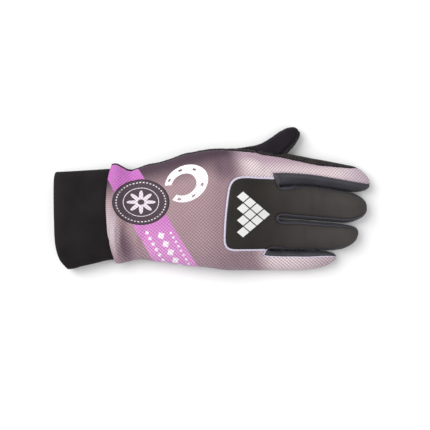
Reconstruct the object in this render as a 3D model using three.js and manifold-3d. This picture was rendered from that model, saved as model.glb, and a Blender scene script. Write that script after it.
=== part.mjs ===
// A right-hand riding glove, lying palm down with the back of the hand up.
//
// The glove is one hollow shell of cloth and synthetic suede, sewn from panels: a printed mesh
// back, a plain knuckle panel that runs out over the middle and ring fingers, a light edging
// round it, a suede palm, three fourchettes between the fingers, a two-piece thumb and a
// stretch cuff that is tucked into the wrist hem.
//
// Working frame: millimetres, +X from the wrist hem to the fingertips, +Y towards the thumb,
// +Z up, with z = 0 at the surface that the glove lies on. The finished group is moved so that
// its origin is the bottom centre of its box.
import * as THREE from "three";
import { mergeVertices } from "three/addons/utils/BufferGeometryUtils.js";
import Module from "manifold-3d";

const wasm = await Module();
wasm.setup();

// Cloth
const WALL = 1.6;
const CUFF_WALL = 2.4;
const SEAM_GAP = 0.3;
const EDGING_WIDTH = 1.4;

// Hand
const HAND_LENGTH = 136.7;
const HAND_HEIGHT = 28;
const FINGER_GAP = 0.5;
const FINGER_SWEEP_DEG = 4.4;
const FINGER_TAPER_AT = 43;

// Fingers, from the thumb side. set_back is how far its root lies behind the front of the hand.
const FINGERS = {
  index: { length: 77.2, width: 27.2, height: 19, set_back: 3, tip_power: 2.1 },
  middle: { length: 71.9, width: 24.8, height: 20, set_back: 0, tip_power: 2.2 },
  ring: { length: 65, width: 24.8, height: 19, set_back: 0, tip_power: 2.2 },
  little: { length: 57.4, width: 16.4, height: 16, set_back: 10, tip_power: 2 },
};

// Thumb
const THUMB_LENGTH = 60.4;
const THUMB_WIDTH = 17.6;
const THUMB_HEIGHT = 15;
const THUMB_YAW_DEG = 41;
const THUMB_CLEARANCE = 0.9;

// Cuff
const CUFF_LENGTH = 41;
const CUFF_WIDTH = 76;
const CUFF_HEIGHT = 21;
const CUFF_TUCK = 5;

// How round the sections are: 2 is an ellipse, more is squarer.
const HAND_POWER = 2.5;
const FINGER_POWER = 2.3;
const CUFF_POWER = 2.7;

// Facets round and along each tube
const HAND_FACETS = 28;
const FINGER_FACETS = 16;
const THUMB_FACETS = 16;
const CUFF_FACETS = 28;
const CUFF_STATIONS = 6;
const CORNER_FACETS = 5;

// Where a section is widest, and how far its round underside would reach below the surface that
// flattens it, both as shares of its height.
const WIDEST = 0.43;
const SINK = 0.12;

// The hand's sections from the wrist hem to the front. along is a share of HAND_LENGTH, thumb
// and little are the two sides as shares of the knuckle width, height is a share of
// HAND_HEIGHT, and bow and skew bend the section's plane, as shares of HAND_LENGTH.
const HAND_SECTIONS = [
  { along: 0.0, thumb: 0.368, little: 0.432, height: 0.83, bow: 0.14, skew: -0.024 },
  { along: 0.036, thumb: 0.4, little: 0.45, height: 0.94, bow: 0.14, skew: -0.03 },
  { along: 0.077, thumb: 0.378, little: 0.442, height: 0.89, bow: 0.12, skew: -0.04 },
  { along: 0.118, thumb: 0.345, little: 0.422, height: 0.79, bow: 0.1, skew: -0.05 },
  { along: 0.165, thumb: 0.355, little: 0.41, height: 0.79, bow: 0.06, skew: -0.04 },
  { along: 0.235, thumb: 0.388, little: 0.425, height: 0.88, bow: 0.03, skew: -0.02 },
  { along: 0.346, thumb: 0.425, little: 0.44, height: 0.96, bow: 0, skew: 0 },
  { along: 0.458, thumb: 0.482, little: 0.461, height: 1.0, bow: 0, skew: 0 },
  { along: 0.563, thumb: 0.512, little: 0.473, height: 1.02, bow: 0, skew: 0 },
  { along: 0.668, thumb: 0.522, little: 0.495, height: 1.02, bow: 0, skew: 0 },
  { along: 0.785, thumb: 0.514, little: 0.503, height: 0.98, bow: -0.08, skew: 0 },
  { along: 0.902, thumb: 0.5, little: 0.503, height: 0.9, bow: -0.3, skew: 0.01 },
  { along: 0.961, thumb: 0.494, little: 0.5, height: 0.79, bow: -0.45, skew: 0.015 },
  { along: 1.0, thumb: 0.488, little: 0.495, height: 0.58, bow: -0.52, skew: 0.018 },
];
const HAND_STEPS = [
  0, 0.018, 0.04, 0.066, 0.096, 0.13, 0.18, 0.25, 0.34, 0.45, 0.56, 0.67, 0.77, 0.85, 0.91, 0.96, 1,
];

// Creases and swellings of the hand's upper side. along and across are shares of HAND_LENGTH and
// of the knuckle width, turn is the crease's direction from +X, reach and spread are its half
// length and half width as shares of HAND_LENGTH, and rise is a share of HAND_HEIGHT.
const HAND_CREASES = [
  { along: 0.13, across: 0.05, turn_deg: 84, reach: 0.3, spread: 0.05, rise: -0.05 },
  { along: 0.2, across: -0.3, turn_deg: 118, reach: 0.16, spread: 0.05, rise: -0.1 },
  { along: 0.34, across: -0.1, turn_deg: 60, reach: 0.3, spread: 0.07, rise: 0.03 },
  { along: 0.7, across: 0.42, turn_deg: 5, reach: 0.26, spread: 0.07, rise: 0.06 },
  { along: 0.86, across: 0.22, turn_deg: 0, reach: 0.12, spread: 0.04, rise: -0.05 },
  { along: 0.88, across: -0.06, turn_deg: 0, reach: 0.12, spread: 0.04, rise: -0.05 },
  { along: 0.84, across: -0.34, turn_deg: 0, reach: 0.12, spread: 0.04, rise: -0.05 },
];

// A finger's sections. along is a share of its length, before its root where it is below 0, and
// width and height are shares of its own. floor is how far its underside is raised inside the
// hand, as a share of its height. Its tip is rounded by a formula.
const FINGER_SECTIONS = [
  { along: -0.4, width: 0.8, height: 0.98, floor: 0.46 },
  { along: -0.22, width: 0.9, height: 1.04, floor: 0.3 },
  { along: -0.08, width: 0.97, height: 1.05, floor: 0.1 },
  { along: 0.02, width: 1.0, height: 1.03, floor: 0 },
  { along: 0.3, width: 0.96, height: 0.97, floor: 0 },
  { along: 0.62, width: 0.89, height: 0.92, floor: 0 },
  { along: 0.85, width: 0.83, height: 0.88, floor: 0 },
  { along: 1.0, width: 0.8, height: 0.84, floor: 0 },
];
const FINGER_STEPS = [-0.4, -0.22, -0.08, 0.02, 0.22, 0.46, 0.68, 0.8, 0.88, 0.94, 0.98, 1];
const FINGER_ROUND_FROM = 0.78;
const TIP_FLAT = 0.22;

// The thumb's sections. left and right are its two sides as shares of THUMB_WIDTH, left being
// the side of the web that joins it to the wrist side of the palm.
const THUMB_SECTIONS = [
  { along: -0.22, left: 1.3, right: 0.5, height: 1.0 },
  { along: 0.0, left: 1.42, right: 0.56, height: 1.08 },
  { along: 0.15, left: 1.36, right: 0.54, height: 1.12 },
  { along: 0.3, left: 1.06, right: 0.51, height: 1.08 },
  { along: 0.5, left: 0.69, right: 0.5, height: 1.02 },
  { along: 0.7, left: 0.56, right: 0.5, height: 1.0 },
  { along: 0.85, left: 0.53, right: 0.47, height: 0.97 },
  { along: 1.0, left: 0.5, right: 0.45, height: 0.93 },
];
const THUMB_STEPS = [-0.22, -0.1, 0, 0.1, 0.2, 0.3, 0.42, 0.56, 0.7, 0.8, 0.88, 0.94, 0.98, 1];
const THUMB_ROUND_FROM = 0.8;
const THUMB_ROOT = { along: 0.785, across: 0.256 };
const THUMB_SEAM_AT = 0.15;
const THUMB_FREE_FROM = 0.38;

// The seam along the thumb's two sides, as shares of THUMB_LENGTH and THUMB_HEIGHT
const THUMB_SEAM = [
  { along: -0.1, left: 0.3, right: 0.9 },
  { along: 0.5, left: 0.3, right: 0.9 },
  { along: 0.9, left: 0.3, right: 0.8 },
  { along: 1.2, left: 0.3, right: 0.8 },
];

// The cuff's sections from its free edge to the wrist hem, as shares of CUFF_LENGTH, CUFF_WIDTH
// and CUFF_HEIGHT. The last one follows the hem that it is tucked into.
const CUFF_SECTIONS = [
  { along: 0.0, thumb: 0.398, little: 0.592, height: 0.86, bow: 0.5, skew: -0.1 },
  { along: 0.08, thumb: 0.42, little: 0.604, height: 0.94, bow: 0.5, skew: -0.1 },
  { along: 0.3, thumb: 0.427, little: 0.588, height: 1.0, bow: 0.49, skew: -0.09 },
  { along: 0.6, thumb: 0.43, little: 0.56, height: 1.0, bow: 0.48, skew: -0.085 },
];
const CUFF_NARROWS = { from: 0.55, to: 0.98 };

// The seam between the back and the palm, from the wrist to past the fingertips. thumb and
// little are its height at the two sides, as shares of the height of what is named in of.
const SIDE_SEAM = [
  { along: -0.1, of: "hand", thumb: 0.52, little: 0.28 },
  { along: 0.26, of: "hand", thumb: 0.52, little: 0.28 },
  { along: 0.56, of: "hand", thumb: 0.56, little: 0.3 },
  { along: 0.72, of: "hand", thumb: 0.64, little: 0.31 },
  { along: 0.86, of: "hand", thumb: 0.7, little: 0.3 },
  { along: 1.0, of: "hand", thumb: 0.64, little: 0.28 },
  { along: 0.2, of: "fingers", thumb: 0.88, little: 0.42 },
  { along: 0.58, of: "fingers", thumb: 0.84, little: 0.42 },
  { along: 0.7, of: "fingers", thumb: 0.76, little: 0.42 },
  { along: 0.83, of: "fingers", thumb: 0.44, little: 0.4 },
  { along: 1.1, of: "fingers", thumb: 0.4, little: 0.38 },
];

// The knuckle panel's back end. along is a share of HAND_LENGTH and the overlaps are how far it
// reaches past the outer sides of the middle and ring fingers, as shares of the neighbour's width.
const KNUCKLE = {
  along_thumb: 0.722,
  along_little: 0.694,
  over_index: 0.27,
  over_little: 0.0,
  thumb_radius: 10,
  little_radius: 5,
};

// The fourchettes. back is where each starts behind the front of the hand, as a share of
// HAND_LENGTH, and first and second are how far its two seams lie from the axes of the finger on
// the thumb side and on the little side, as shares of those fingers' widths.
const FOURCHETTES = [
  { name: "index_middle", fingers: ["index", "middle"], back: 0.024, first: -0.14, second: 0.41 },
  { name: "middle_ring", fingers: ["middle", "ring"], back: 0.008, first: -0.41, second: 0.4 },
  { name: "ring_little", fingers: ["ring", "little"], back: 0.074, first: -0.45, second: 0.2 },
];
const FOURCHETTE_FLOOR = 0.28;

// Colours from the real glove
const MATERIALS = {
  mesh: { color: 0x9c8189, roughness: 0.75, metalness: 0 },
  softshell: { color: 0x34332f, roughness: 0.9, metalness: 0 },
  edging: { color: 0xcfc8e0, roughness: 0.8, metalness: 0 },
  suede: { color: 0x2b2b27, roughness: 0.95, metalness: 0 },
  stretch: { color: 0x33323b, roughness: 0.85, metalness: 0 },
  cuff: { color: 0x282625, roughness: 0.92, metalness: 0 },
};

const radians = THREE.MathUtils.degToRad;
const CUT_HEIGHT = 3 * HAND_HEIGHT;
const CUT_PAST = 2 * WALL;
const DETAIL = 0.05;
const names = Object.keys(FINGERS);
const KNUCKLE_WIDTH =
  names.reduce((sum, name) => sum + FINGERS[name].width, 0) + FINGER_GAP * (names.length - 1);
const LONGEST = Math.max(...names.map((name) => FINGERS[name].length - FINGERS[name].set_back));

// One row of a table at a place between its rows, along a smooth curve through them.
function rowAt(rows, along) {
  const last = rows.length - 1;
  const place = THREE.MathUtils.clamp(along, rows[0].along, rows[last].along);
  let i = 0;
  while (i < last - 1 && rows[i + 1].along < place) i += 1;
  const span = rows[i + 1].along - rows[i].along;
  const t = (place - rows[i].along) / span;
  const slope = (key, k) => {
    const a = Math.max(k - 1, 0);
    const b = Math.min(k + 1, last);
    return (rows[b][key] - rows[a][key]) / (rows[b].along - rows[a].along);
  };
  const row = {};
  for (const key of Object.keys(rows[i])) {
    const [from, to] = [rows[i][key], rows[i + 1][key]];
    const [m0, m1] = [slope(key, i) * span, slope(key, i + 1) * span];
    row[key] =
      (2 * t ** 3 - 3 * t ** 2 + 1) * from +
      (t ** 3 - 2 * t ** 2 + t) * m0 +
      (3 * t ** 2 - 2 * t ** 3) * to +
      (t ** 3 - t ** 2) * m1;
  }
  return row;
}

// A closed solid through rings of as many points each, with flat ends.
function loft(rings) {
  const around = rings[0].length;
  const centre = (ring) =>
    ring.reduce((sum, p) => sum.add(p), new THREE.Vector3()).divideScalar(around);
  const points = rings.flat();
  const start = points.push(centre(rings[0])) - 1;
  const end = points.push(centre(rings[rings.length - 1])) - 1;
  const faces = [];
  for (let k = 0; k < around; k += 1) {
    const next = (k + 1) % around;
    for (let i = 0; i < rings.length - 1; i += 1) {
      const [a, b] = [i * around + k, i * around + next];
      faces.push(a, b, b + around, a, b + around, a + around);
    }
    const lastRing = (rings.length - 1) * around;
    faces.push(start, next, k, end, lastRing + k, lastRing + next);
  }
  const vertProperties = new Float32Array(points.flatMap((p) => [p.x, p.y, p.z]));
  const mesh = new wasm.Mesh({ numProp: 3, vertProperties, triVerts: new Uint32Array(faces) });
  return new wasm.Manifold(mesh);
}

// A ring moved along X.
function moved(ring, distance) {
  return ring.map((p) => new THREE.Vector3(p.x + distance, p.y, p.z));
}

// A closed three.js geometry as a solid.
function solidOf(geometry) {
  geometry.deleteAttribute("normal");
  geometry.deleteAttribute("uv");
  const merged = mergeVertices(geometry, 1e-4);
  const mesh = new wasm.Mesh({
    numProp: 3,
    vertProperties: new Float32Array(merged.attributes.position.array),
    triVerts: new Uint32Array(merged.index.array),
  });
  return new wasm.Manifold(mesh);
}

// An upright cutter over an outline, from a height up to above the glove.
function prism(shape, fromHeight) {
  const depth = CUT_HEIGHT - fromHeight;
  const geometry = new THREE.ExtrudeGeometry(shape, { depth, bevelEnabled: false });
  return solidOf(geometry.translate(0, 0, fromHeight));
}

// One ring of a tube: a rounded section that the surface below flattens. Its section gives
// left and right of the axis, height, floor, shrink (1, or less at a rounded tip), power, and
// bow and skew in mm. inset moves it inwards.
function sectionRing(x, section, inset, facets, place) {
  const { left, right, height, floor = 0, shrink = 1, power, bow = 0, skew = 0 } = section;
  const half = (left + right) / 2;
  const middle = (left - right) / 2;
  const widest = floor + WIDEST * (height - floor);
  const rise = (height - widest) * shrink - inset;
  const drop = (widest - floor + SINK * height) * shrink - inset;
  const ring = [];
  for (let k = 0; k < facets; k += 1) {
    const angle = (2 * Math.PI * k) / facets;
    const u = Math.sign(Math.cos(angle)) * Math.abs(Math.cos(angle)) ** (2 / power);
    const v = Math.sign(Math.sin(angle)) * Math.abs(Math.sin(angle)) ** (2 / power);
    const y = middle + (half * shrink - inset) * u;
    const z = Math.max(widest + v * (v > 0 ? rise : drop), floor + inset);
    const share = (y - middle) / (2 * half);
    ring.push(place(x + skew * share + bow * share ** 2, y, z));
  }
  return ring;
}

// How much a rounded tip has narrowed at a share of the length.
function tipShrink(along, from, power) {
  if (along <= from) return 1;
  const t = (along - from) / (1 - from);
  return Math.max((1 - t ** power) ** (1 / power), TIP_FLAT);
}

// The hand, from the wrist hem to where the fingers start
function creased(x, y, z) {
  const up = Math.max(0, z / HAND_HEIGHT - WIDEST);
  let lift = 0;
  for (const crease of HAND_CREASES) {
    const turn = radians(crease.turn_deg);
    const dx = x - crease.along * HAND_LENGTH;
    const dy = y - crease.across * KNUCKLE_WIDTH;
    const far = (dx * Math.cos(turn) + dy * Math.sin(turn)) / (crease.reach * HAND_LENGTH);
    const off = (dy * Math.cos(turn) - dx * Math.sin(turn)) / (crease.spread * HAND_LENGTH);
    lift += crease.rise * HAND_HEIGHT * Math.exp(-(far ** 2) - off ** 2);
  }
  return new THREE.Vector3(x, y, z + lift * Math.min(1, up / (1 - WIDEST)));
}

function handSection(along) {
  const row = rowAt(HAND_SECTIONS, along);
  return {
    left: row.thumb * KNUCKLE_WIDTH,
    right: row.little * KNUCKLE_WIDTH,
    height: row.height * HAND_HEIGHT,
    bow: row.bow * HAND_LENGTH,
    skew: row.skew * HAND_LENGTH,
    power: HAND_POWER,
  };
}

function handTube(inset) {
  const rings = HAND_STEPS.map((along) =>
    sectionRing(along * (HAND_LENGTH - inset), handSection(along), inset, HAND_FACETS, creased),
  );
  if (inset > 0) rings.unshift(moved(rings[0], -CUT_PAST));
  return loft(rings);
}

// The fingers lie side by side, so each one's axis follows from its neighbours' widths.
function stackOffset(name, scale) {
  let edge = (KNUCKLE_WIDTH / 2) * scale;
  for (const other of names) {
    const width = FINGERS[other].width * scale;
    if (other === name) return edge - width / 2;
    edge -= width + FINGER_GAP * scale;
  }
  throw new Error(`no finger is named ${name}`);
}

function fingerRoot(name) {
  return HAND_LENGTH - FINGERS[name].set_back;
}

function fingerAxis(name, x) {
  const beyond = Math.max(0, x - fingerRoot(name));
  const taper = rowAt(FINGER_SECTIONS, FINGER_TAPER_AT / FINGERS.middle.length).width;
  const drift = (stackOffset(name, taper) - stackOffset(name, 1)) / FINGER_TAPER_AT;
  return stackOffset(name, 1) + beyond * (drift - Math.tan(radians(FINGER_SWEEP_DEG)));
}

function fingerTube(name, inset) {
  const finger = FINGERS[name];
  const rings = FINGER_STEPS.map((along) => {
    const row = rowAt(FINGER_SECTIONS, along);
    const x = fingerRoot(name) + along * (finger.length - (along > 0 ? inset : 0));
    const section = {
      left: (row.width * finger.width) / 2,
      right: (row.width * finger.width) / 2,
      height: row.height * finger.height,
      floor: row.floor * finger.height,
      shrink: tipShrink(along, FINGER_ROUND_FROM, finger.tip_power),
      power: FINGER_POWER,
    };
    const axis = fingerAxis(name, x);
    const place = (px, py, pz) => new THREE.Vector3(px, py + axis, pz);
    return sectionRing(x, section, inset, FINGER_FACETS, place);
  });
  return loft(rings);
}

// The thumb lies beside the palm, tucked under its thumb-side edge.
function thumbPlace(x, y, z) {
  const turn = new THREE.Vector3(0, 0, 1);
  const root = new THREE.Vector3(THUMB_ROOT.along * HAND_LENGTH, THUMB_ROOT.across * KNUCKLE_WIDTH, 0);
  return new THREE.Vector3(x, y, z).applyAxisAngle(turn, radians(THUMB_YAW_DEG)).add(root);
}

function thumbTube(inset, from = THUMB_STEPS[0]) {
  const steps = [from, ...THUMB_STEPS.filter((along) => along > from)];
  const rings = steps.map((along) => {
    const row = rowAt(THUMB_SECTIONS, along);
    const section = {
      left: row.left * THUMB_WIDTH,
      right: row.right * THUMB_WIDTH,
      height: row.height * THUMB_HEIGHT,
      shrink: tipShrink(along, THUMB_ROUND_FROM, 2),
      power: FINGER_POWER,
    };
    const x = along * (THUMB_LENGTH - inset);
    return sectionRing(x, section, inset, THUMB_FACETS, thumbPlace);
  });
  return loft(rings);
}

// The cuff is a tube that narrows to slip inside the wrist hem.
function cuffTube(inset) {
  const hem = handSection(0);
  const clearance = WALL + SEAM_GAP;
  const rings = [];
  for (let i = 0; i <= CUFF_STATIONS; i += 1) {
    const along = i / CUFF_STATIONS;
    const row = rowAt(CUFF_SECTIONS, along);
    const blend = THREE.MathUtils.smoothstep(along, CUFF_NARROWS.from, CUFF_NARROWS.to);
    const mix = (free, hemmed) => THREE.MathUtils.lerp(free, hemmed, blend);
    const section = {
      left: mix(row.thumb * CUFF_WIDTH, hem.left - clearance),
      right: mix(row.little * CUFF_WIDTH, hem.right - clearance),
      height: mix(row.height * CUFF_HEIGHT, hem.height - clearance),
      floor: mix(0, clearance),
      bow: mix(row.bow * CUFF_LENGTH, hem.bow),
      skew: mix(row.skew * CUFF_LENGTH, hem.skew),
      power: mix(CUFF_POWER, HAND_POWER),
    };
    rings.push(sectionRing((along - 1) * CUFF_LENGTH, section, inset, CUFF_FACETS, plainPlace));
  }
  const overrun = inset > 0 ? CUT_PAST : 0;
  rings.push(moved(rings[CUFF_STATIONS], CUFF_TUCK + overrun));
  if (overrun > 0) rings.unshift(moved(rings[0], -overrun));
  return loft(rings);
}

function plainPlace(x, y, z) {
  return new THREE.Vector3(x, y, z);
}

// The cutter over a tilted seam: everything above a strip whose height is given at both sides.
function aboveSeam(rows, halfWidth, lower, place) {
  const reach = 4 * halfWidth;
  const rings = rows.map(({ x, thumb, little }) => [
    place(x, reach, thumb - lower),
    place(x, reach, CUT_HEIGHT),
    place(x, -reach, CUT_HEIGHT),
    place(x, -reach, little - lower),
    place(x, -halfWidth, little - lower),
    place(x, halfWidth, thumb - lower),
  ]);
  return loft(rings);
}

function sideSeamRows() {
  return SIDE_SEAM.map(({ along, of, thumb, little }) => {
    if (of === "hand") {
      return { x: along * HAND_LENGTH, thumb: thumb * HAND_HEIGHT, little: little * HAND_HEIGHT };
    }
    return {
      x: HAND_LENGTH + along * LONGEST,
      thumb: thumb * FINGERS.index.height,
      little: little * FINGERS.little.height,
    };
  });
}

// An outline moved outwards by a distance. Its points run anticlockwise.
function grown(points, distance) {
  return points.map((point, i) => {
    const before = points[(i + points.length - 1) % points.length];
    const after = points[(i + 1) % points.length];
    const inward = point.clone().sub(before).normalize();
    const outward = after.clone().sub(point).normalize();
    const normals = [inward, outward].map((d) => new THREE.Vector2(d.y, -d.x));
    const bisector = normals[0].clone().add(normals[1]).normalize();
    return point.clone().addScaledVector(bisector, distance / bisector.dot(normals[0]));
  });
}

// The fourchette's outline: out along one finger's seam and back along the next one's.
function fourchetteOutline({ fingers, back, first, second }) {
  const start = HAND_LENGTH * (1 - back);
  const end = HAND_LENGTH + LONGEST + CUT_PAST;
  const seamPoint = (name, x, share) =>
    new THREE.Vector2(x, fingerAxis(name, x) + share * FINGERS[name].width);
  const bend = (name) => Math.max(fingerRoot(name), start + WALL);
  return [
    seamPoint(fingers[1], start, second),
    seamPoint(fingers[1], bend(fingers[1]), second),
    seamPoint(fingers[1], end, second),
    seamPoint(fingers[0], end, first),
    seamPoint(fingers[0], bend(fingers[0]), first),
    seamPoint(fingers[0], start, first),
  ];
}

// The knuckle panel's outline: a round-cornered end on the back of the hand, open to the
// fingertips, where it follows the gaps beside the middle and ring fingers.
function knuckleOutline() {
  const end = HAND_LENGTH + LONGEST + CUT_PAST;
  const gapBeside = (name, side, x) =>
    fingerAxis(name, x) + side * ((FINGERS[name].width + FINGER_GAP) / 2);
  const top = gapBeside("middle", 1, 0) + KNUCKLE.over_index * FINGERS.index.width;
  const bottom = gapBeside("ring", -1, 0) - KNUCKLE.over_little * FINGERS.little.width;
  const frontTop = HAND_LENGTH * (1 - FOURCHETTES[0].back) + EDGING_WIDTH;
  const frontBottom = HAND_LENGTH * (1 - FOURCHETTES[2].back) + EDGING_WIDTH;
  const corner = (along, y, radius, fromDeg) =>
    Array.from({ length: CORNER_FACETS + 1 }, (_, i) => {
      const angle = radians(fromDeg + (90 * i) / CORNER_FACETS);
      const x = along * HAND_LENGTH + radius;
      return new THREE.Vector2(x + radius * Math.cos(angle), y + radius * Math.sin(angle));
    });
  return [
    ...corner(KNUCKLE.along_thumb, top - KNUCKLE.thumb_radius, KNUCKLE.thumb_radius, 90),
    ...corner(KNUCKLE.along_little, bottom + KNUCKLE.little_radius, KNUCKLE.little_radius, 180),
    new THREE.Vector2(frontBottom, bottom),
    new THREE.Vector2(HAND_LENGTH, gapBeside("ring", -1, HAND_LENGTH)),
    new THREE.Vector2(end, gapBeside("ring", -1, end)),
    new THREE.Vector2(end, gapBeside("middle", 1, end)),
    new THREE.Vector2(frontTop, gapBeside("middle", 1, frontTop)),
    new THREE.Vector2(frontTop, top),
  ];
}

// The largest body of a cut, without the crumbs that the cut leaves beside it.
function mainBody(solid) {
  return solid.decompose().sort((a, b) => b.volume() - a.volume())[0];
}

function union(solids) {
  return solids.reduce((all, one) => all.add(one));
}

// The glove as one shell, before it is cut into its panels
const thumbBeside = thumbTube(-THUMB_CLEARANCE, THUMB_FREE_FROM);
const thumbInside = thumbTube(-THUMB_CLEARANCE - WALL, THUMB_FREE_FROM);
const handOuter = union([handTube(0), ...names.map((name) => fingerTube(name, 0))]);
const handInner = union([handTube(WALL), ...names.map((name) => fingerTube(name, WALL))]);
const outer = handOuter.subtract(thumbBeside).add(thumbTube(0));
const inner = handInner.subtract(thumbInside).add(thumbTube(WALL));
const shell = outer.subtract(inner);

// The thumb, cut off at its seam and split along its sides
const thumbZone = thumbTube(-SEAM_GAP, THUMB_SEAM_AT);
const thumbZoneGrown = thumbTube(-2 * SEAM_GAP, THUMB_SEAM_AT - SEAM_GAP / THUMB_LENGTH);
const thumbShell = shell.intersect(thumbZone);
const thumbSeam = THUMB_SEAM.map(({ along, left, right }) => ({
  x: along * THUMB_LENGTH,
  thumb: left * THUMB_HEIGHT,
  little: right * THUMB_HEIGHT,
}));
const thumbUpper = aboveSeam(thumbSeam, THUMB_WIDTH / 2, 0, thumbPlace);
const thumbUpperGrown = aboveSeam(thumbSeam, THUMB_WIDTH / 2, SEAM_GAP, thumbPlace);

// The fourchettes, then the panels above and below the side seam
const handShell = shell.subtract(thumbZoneGrown);
const fourchetteFloor = FOURCHETTE_FLOOR * FINGERS.little.height;
const fourchetteZones = FOURCHETTES.map((row) => fourchetteOutline(row));
const sewn = fourchetteZones.reduce(
  (rest, outline) =>
    rest.subtract(prism(new THREE.Shape(grown(outline, SEAM_GAP)), fourchetteFloor - SEAM_GAP)),
  handShell,
);
const upper = sewn.intersect(aboveSeam(sideSeamRows(), KNUCKLE_WIDTH / 2, 0, plainPlace));
const palm = sewn.subtract(aboveSeam(sideSeamRows(), KNUCKLE_WIDTH / 2, SEAM_GAP, plainPlace));

const knuckleZone = (growth) => prism(new THREE.Shape(grown(knuckleOutline(), growth)), 0);
const edgingInside = SEAM_GAP;
const edgingOutside = edgingInside + EDGING_WIDTH;

const PANELS = {
  cuff: { solid: cuffTube(0).subtract(cuffTube(CUFF_WALL)), material: "cuff" },
  palm_panel: { solid: palm, material: "suede" },
  back_panel: { solid: upper.subtract(knuckleZone(edgingOutside + SEAM_GAP)), material: "mesh" },
  knuckle_panel: { solid: upper.intersect(knuckleZone(0)), material: "softshell" },
  knuckle_edging: {
    solid: upper.intersect(knuckleZone(edgingOutside)).subtract(knuckleZone(edgingInside)),
    material: "edging",
  },
  thumb_back: { solid: thumbShell.intersect(thumbUpper), material: "stretch" },
  thumb_front: { solid: thumbShell.subtract(thumbUpperGrown), material: "suede" },
};
FOURCHETTES.forEach((row, i) => {
  const zone = prism(new THREE.Shape(fourchetteZones[i]), fourchetteFloor);
  PANELS[`fourchette_${row.name}`] = { solid: handShell.intersect(zone), material: "stretch" };
});

function meshOf(name, { solid, material }) {
  const body = mainBody(solid.simplify(DETAIL));
  const { vertProperties, triVerts } = body.getMesh();
  const geometry = new THREE.BufferGeometry();
  geometry.setAttribute("position", new THREE.BufferAttribute(vertProperties, 3));
  geometry.setIndex(new THREE.BufferAttribute(triVerts, 1));
  geometry.computeVertexNormals();
  const mesh = new THREE.Mesh(geometry, new THREE.MeshStandardMaterial(MATERIALS[material]));
  mesh.name = name;
  return mesh;
}

const glove = new THREE.Group();
glove.name = "riding_glove";
for (const [name, panel] of Object.entries(PANELS)) {
  glove.add(meshOf(name, panel));
}
const box = new THREE.Box3().setFromObject(glove, true);
const middle = box.getCenter(new THREE.Vector3());
for (const mesh of glove.children) {
  mesh.position.set(-middle.x, -middle.y, -box.min.z);
}

export default glove;
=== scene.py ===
import math

import bmesh
import bpy
from bpy.props import FloatProperty, FloatVectorProperty, PointerProperty
from bpy.types import Operator, Panel, PropertyGroup
from mathutils import Matrix, Vector, noise
from mathutils.bvhtree import BVHTree
from mathutils.kdtree import KDTree


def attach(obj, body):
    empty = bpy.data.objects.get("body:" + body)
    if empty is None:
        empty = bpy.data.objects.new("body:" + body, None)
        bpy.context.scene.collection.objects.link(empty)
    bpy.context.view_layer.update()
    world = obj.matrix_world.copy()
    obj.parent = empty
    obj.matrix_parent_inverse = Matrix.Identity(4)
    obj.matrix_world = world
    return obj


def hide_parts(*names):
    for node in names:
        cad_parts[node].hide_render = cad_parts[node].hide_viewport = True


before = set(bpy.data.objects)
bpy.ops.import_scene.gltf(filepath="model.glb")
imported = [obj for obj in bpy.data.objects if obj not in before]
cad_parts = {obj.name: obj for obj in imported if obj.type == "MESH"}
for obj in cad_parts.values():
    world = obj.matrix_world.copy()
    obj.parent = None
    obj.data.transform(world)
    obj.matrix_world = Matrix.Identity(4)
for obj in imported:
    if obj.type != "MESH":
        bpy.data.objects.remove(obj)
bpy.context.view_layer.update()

bl_info = {
    "name": "Riding Glove",
    "version": (1, 0, 0),
    "blender": (4, 5, 0),
    "location": "3D View > Sidebar > Glove",
    "description": "Dresses a right-hand riding glove in cloth, suede, seams and stitches",
    "category": "Add Mesh",
}

# Sizes in this file are in millimetres, in a pattern frame: +X from the wrist hem to the
# fingertips, +Y towards the thumb, +Z up. The hem's middle lies here in the row frame.
MM = 0.001
HEM_MIDDLE = Vector((-84.89, -9.375, 0.0))

# How round a section is: 2 is an ellipse, more is squarer. Then, as shares of its height, how high
# up it is widest, and how far it would sink below the floor if it weren't pressed flat.
HAND_POWER = 2.5
FINGER_POWER = 2.35
CUFF_POWER = 2.7
WIDEST = 0.43
SINK = 0.12

# The glove's two side edges seen from above: x, y
THUMB_EDGE = [
    (-2.0, 35.6), (3.0, 36.6), (8.0, 37.6), (11.5, 36.8), (14.6, 34.6), (19.4, 32.9), (24.2, 33.5),
    (29.0, 35.2), (33.8, 36.8), (43.4, 38.6), (53.0, 41.6), (62.6, 45.4), (72.2, 47.3),
    (82.0, 48.8), (91.4, 49.4), (107.4, 49.4), (126.0, 48.8), (136.0, 47.2),
]
LITTLE_EDGE = [
    (-2.0, -38.0), (5.0, -39.4), (10.0, -41.8), (17.8, -40.2), (26.6, -38.4), (38.6, -39.8),
    (53.0, -41.6), (62.6, -43.2), (82.0, -44.9), (91.4, -46.4), (100.0, -47.1), (140.0, -47.2),
]
# Height of the back of the hand: x, height
HAND_HEIGHTS = [
    (-2.0, 22.6), (4.0, 25.4), (10.0, 25.2), (16.0, 22.4), (22.5, 21.4), (32.0, 23.4), (47.0, 26.2),
    (62.6, 27.4), (77.0, 28.0), (91.0, 28.0), (107.0, 27.0), (120.0, 25.0), (130.0, 22.6),
    (140.0, 21.0),
]

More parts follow.
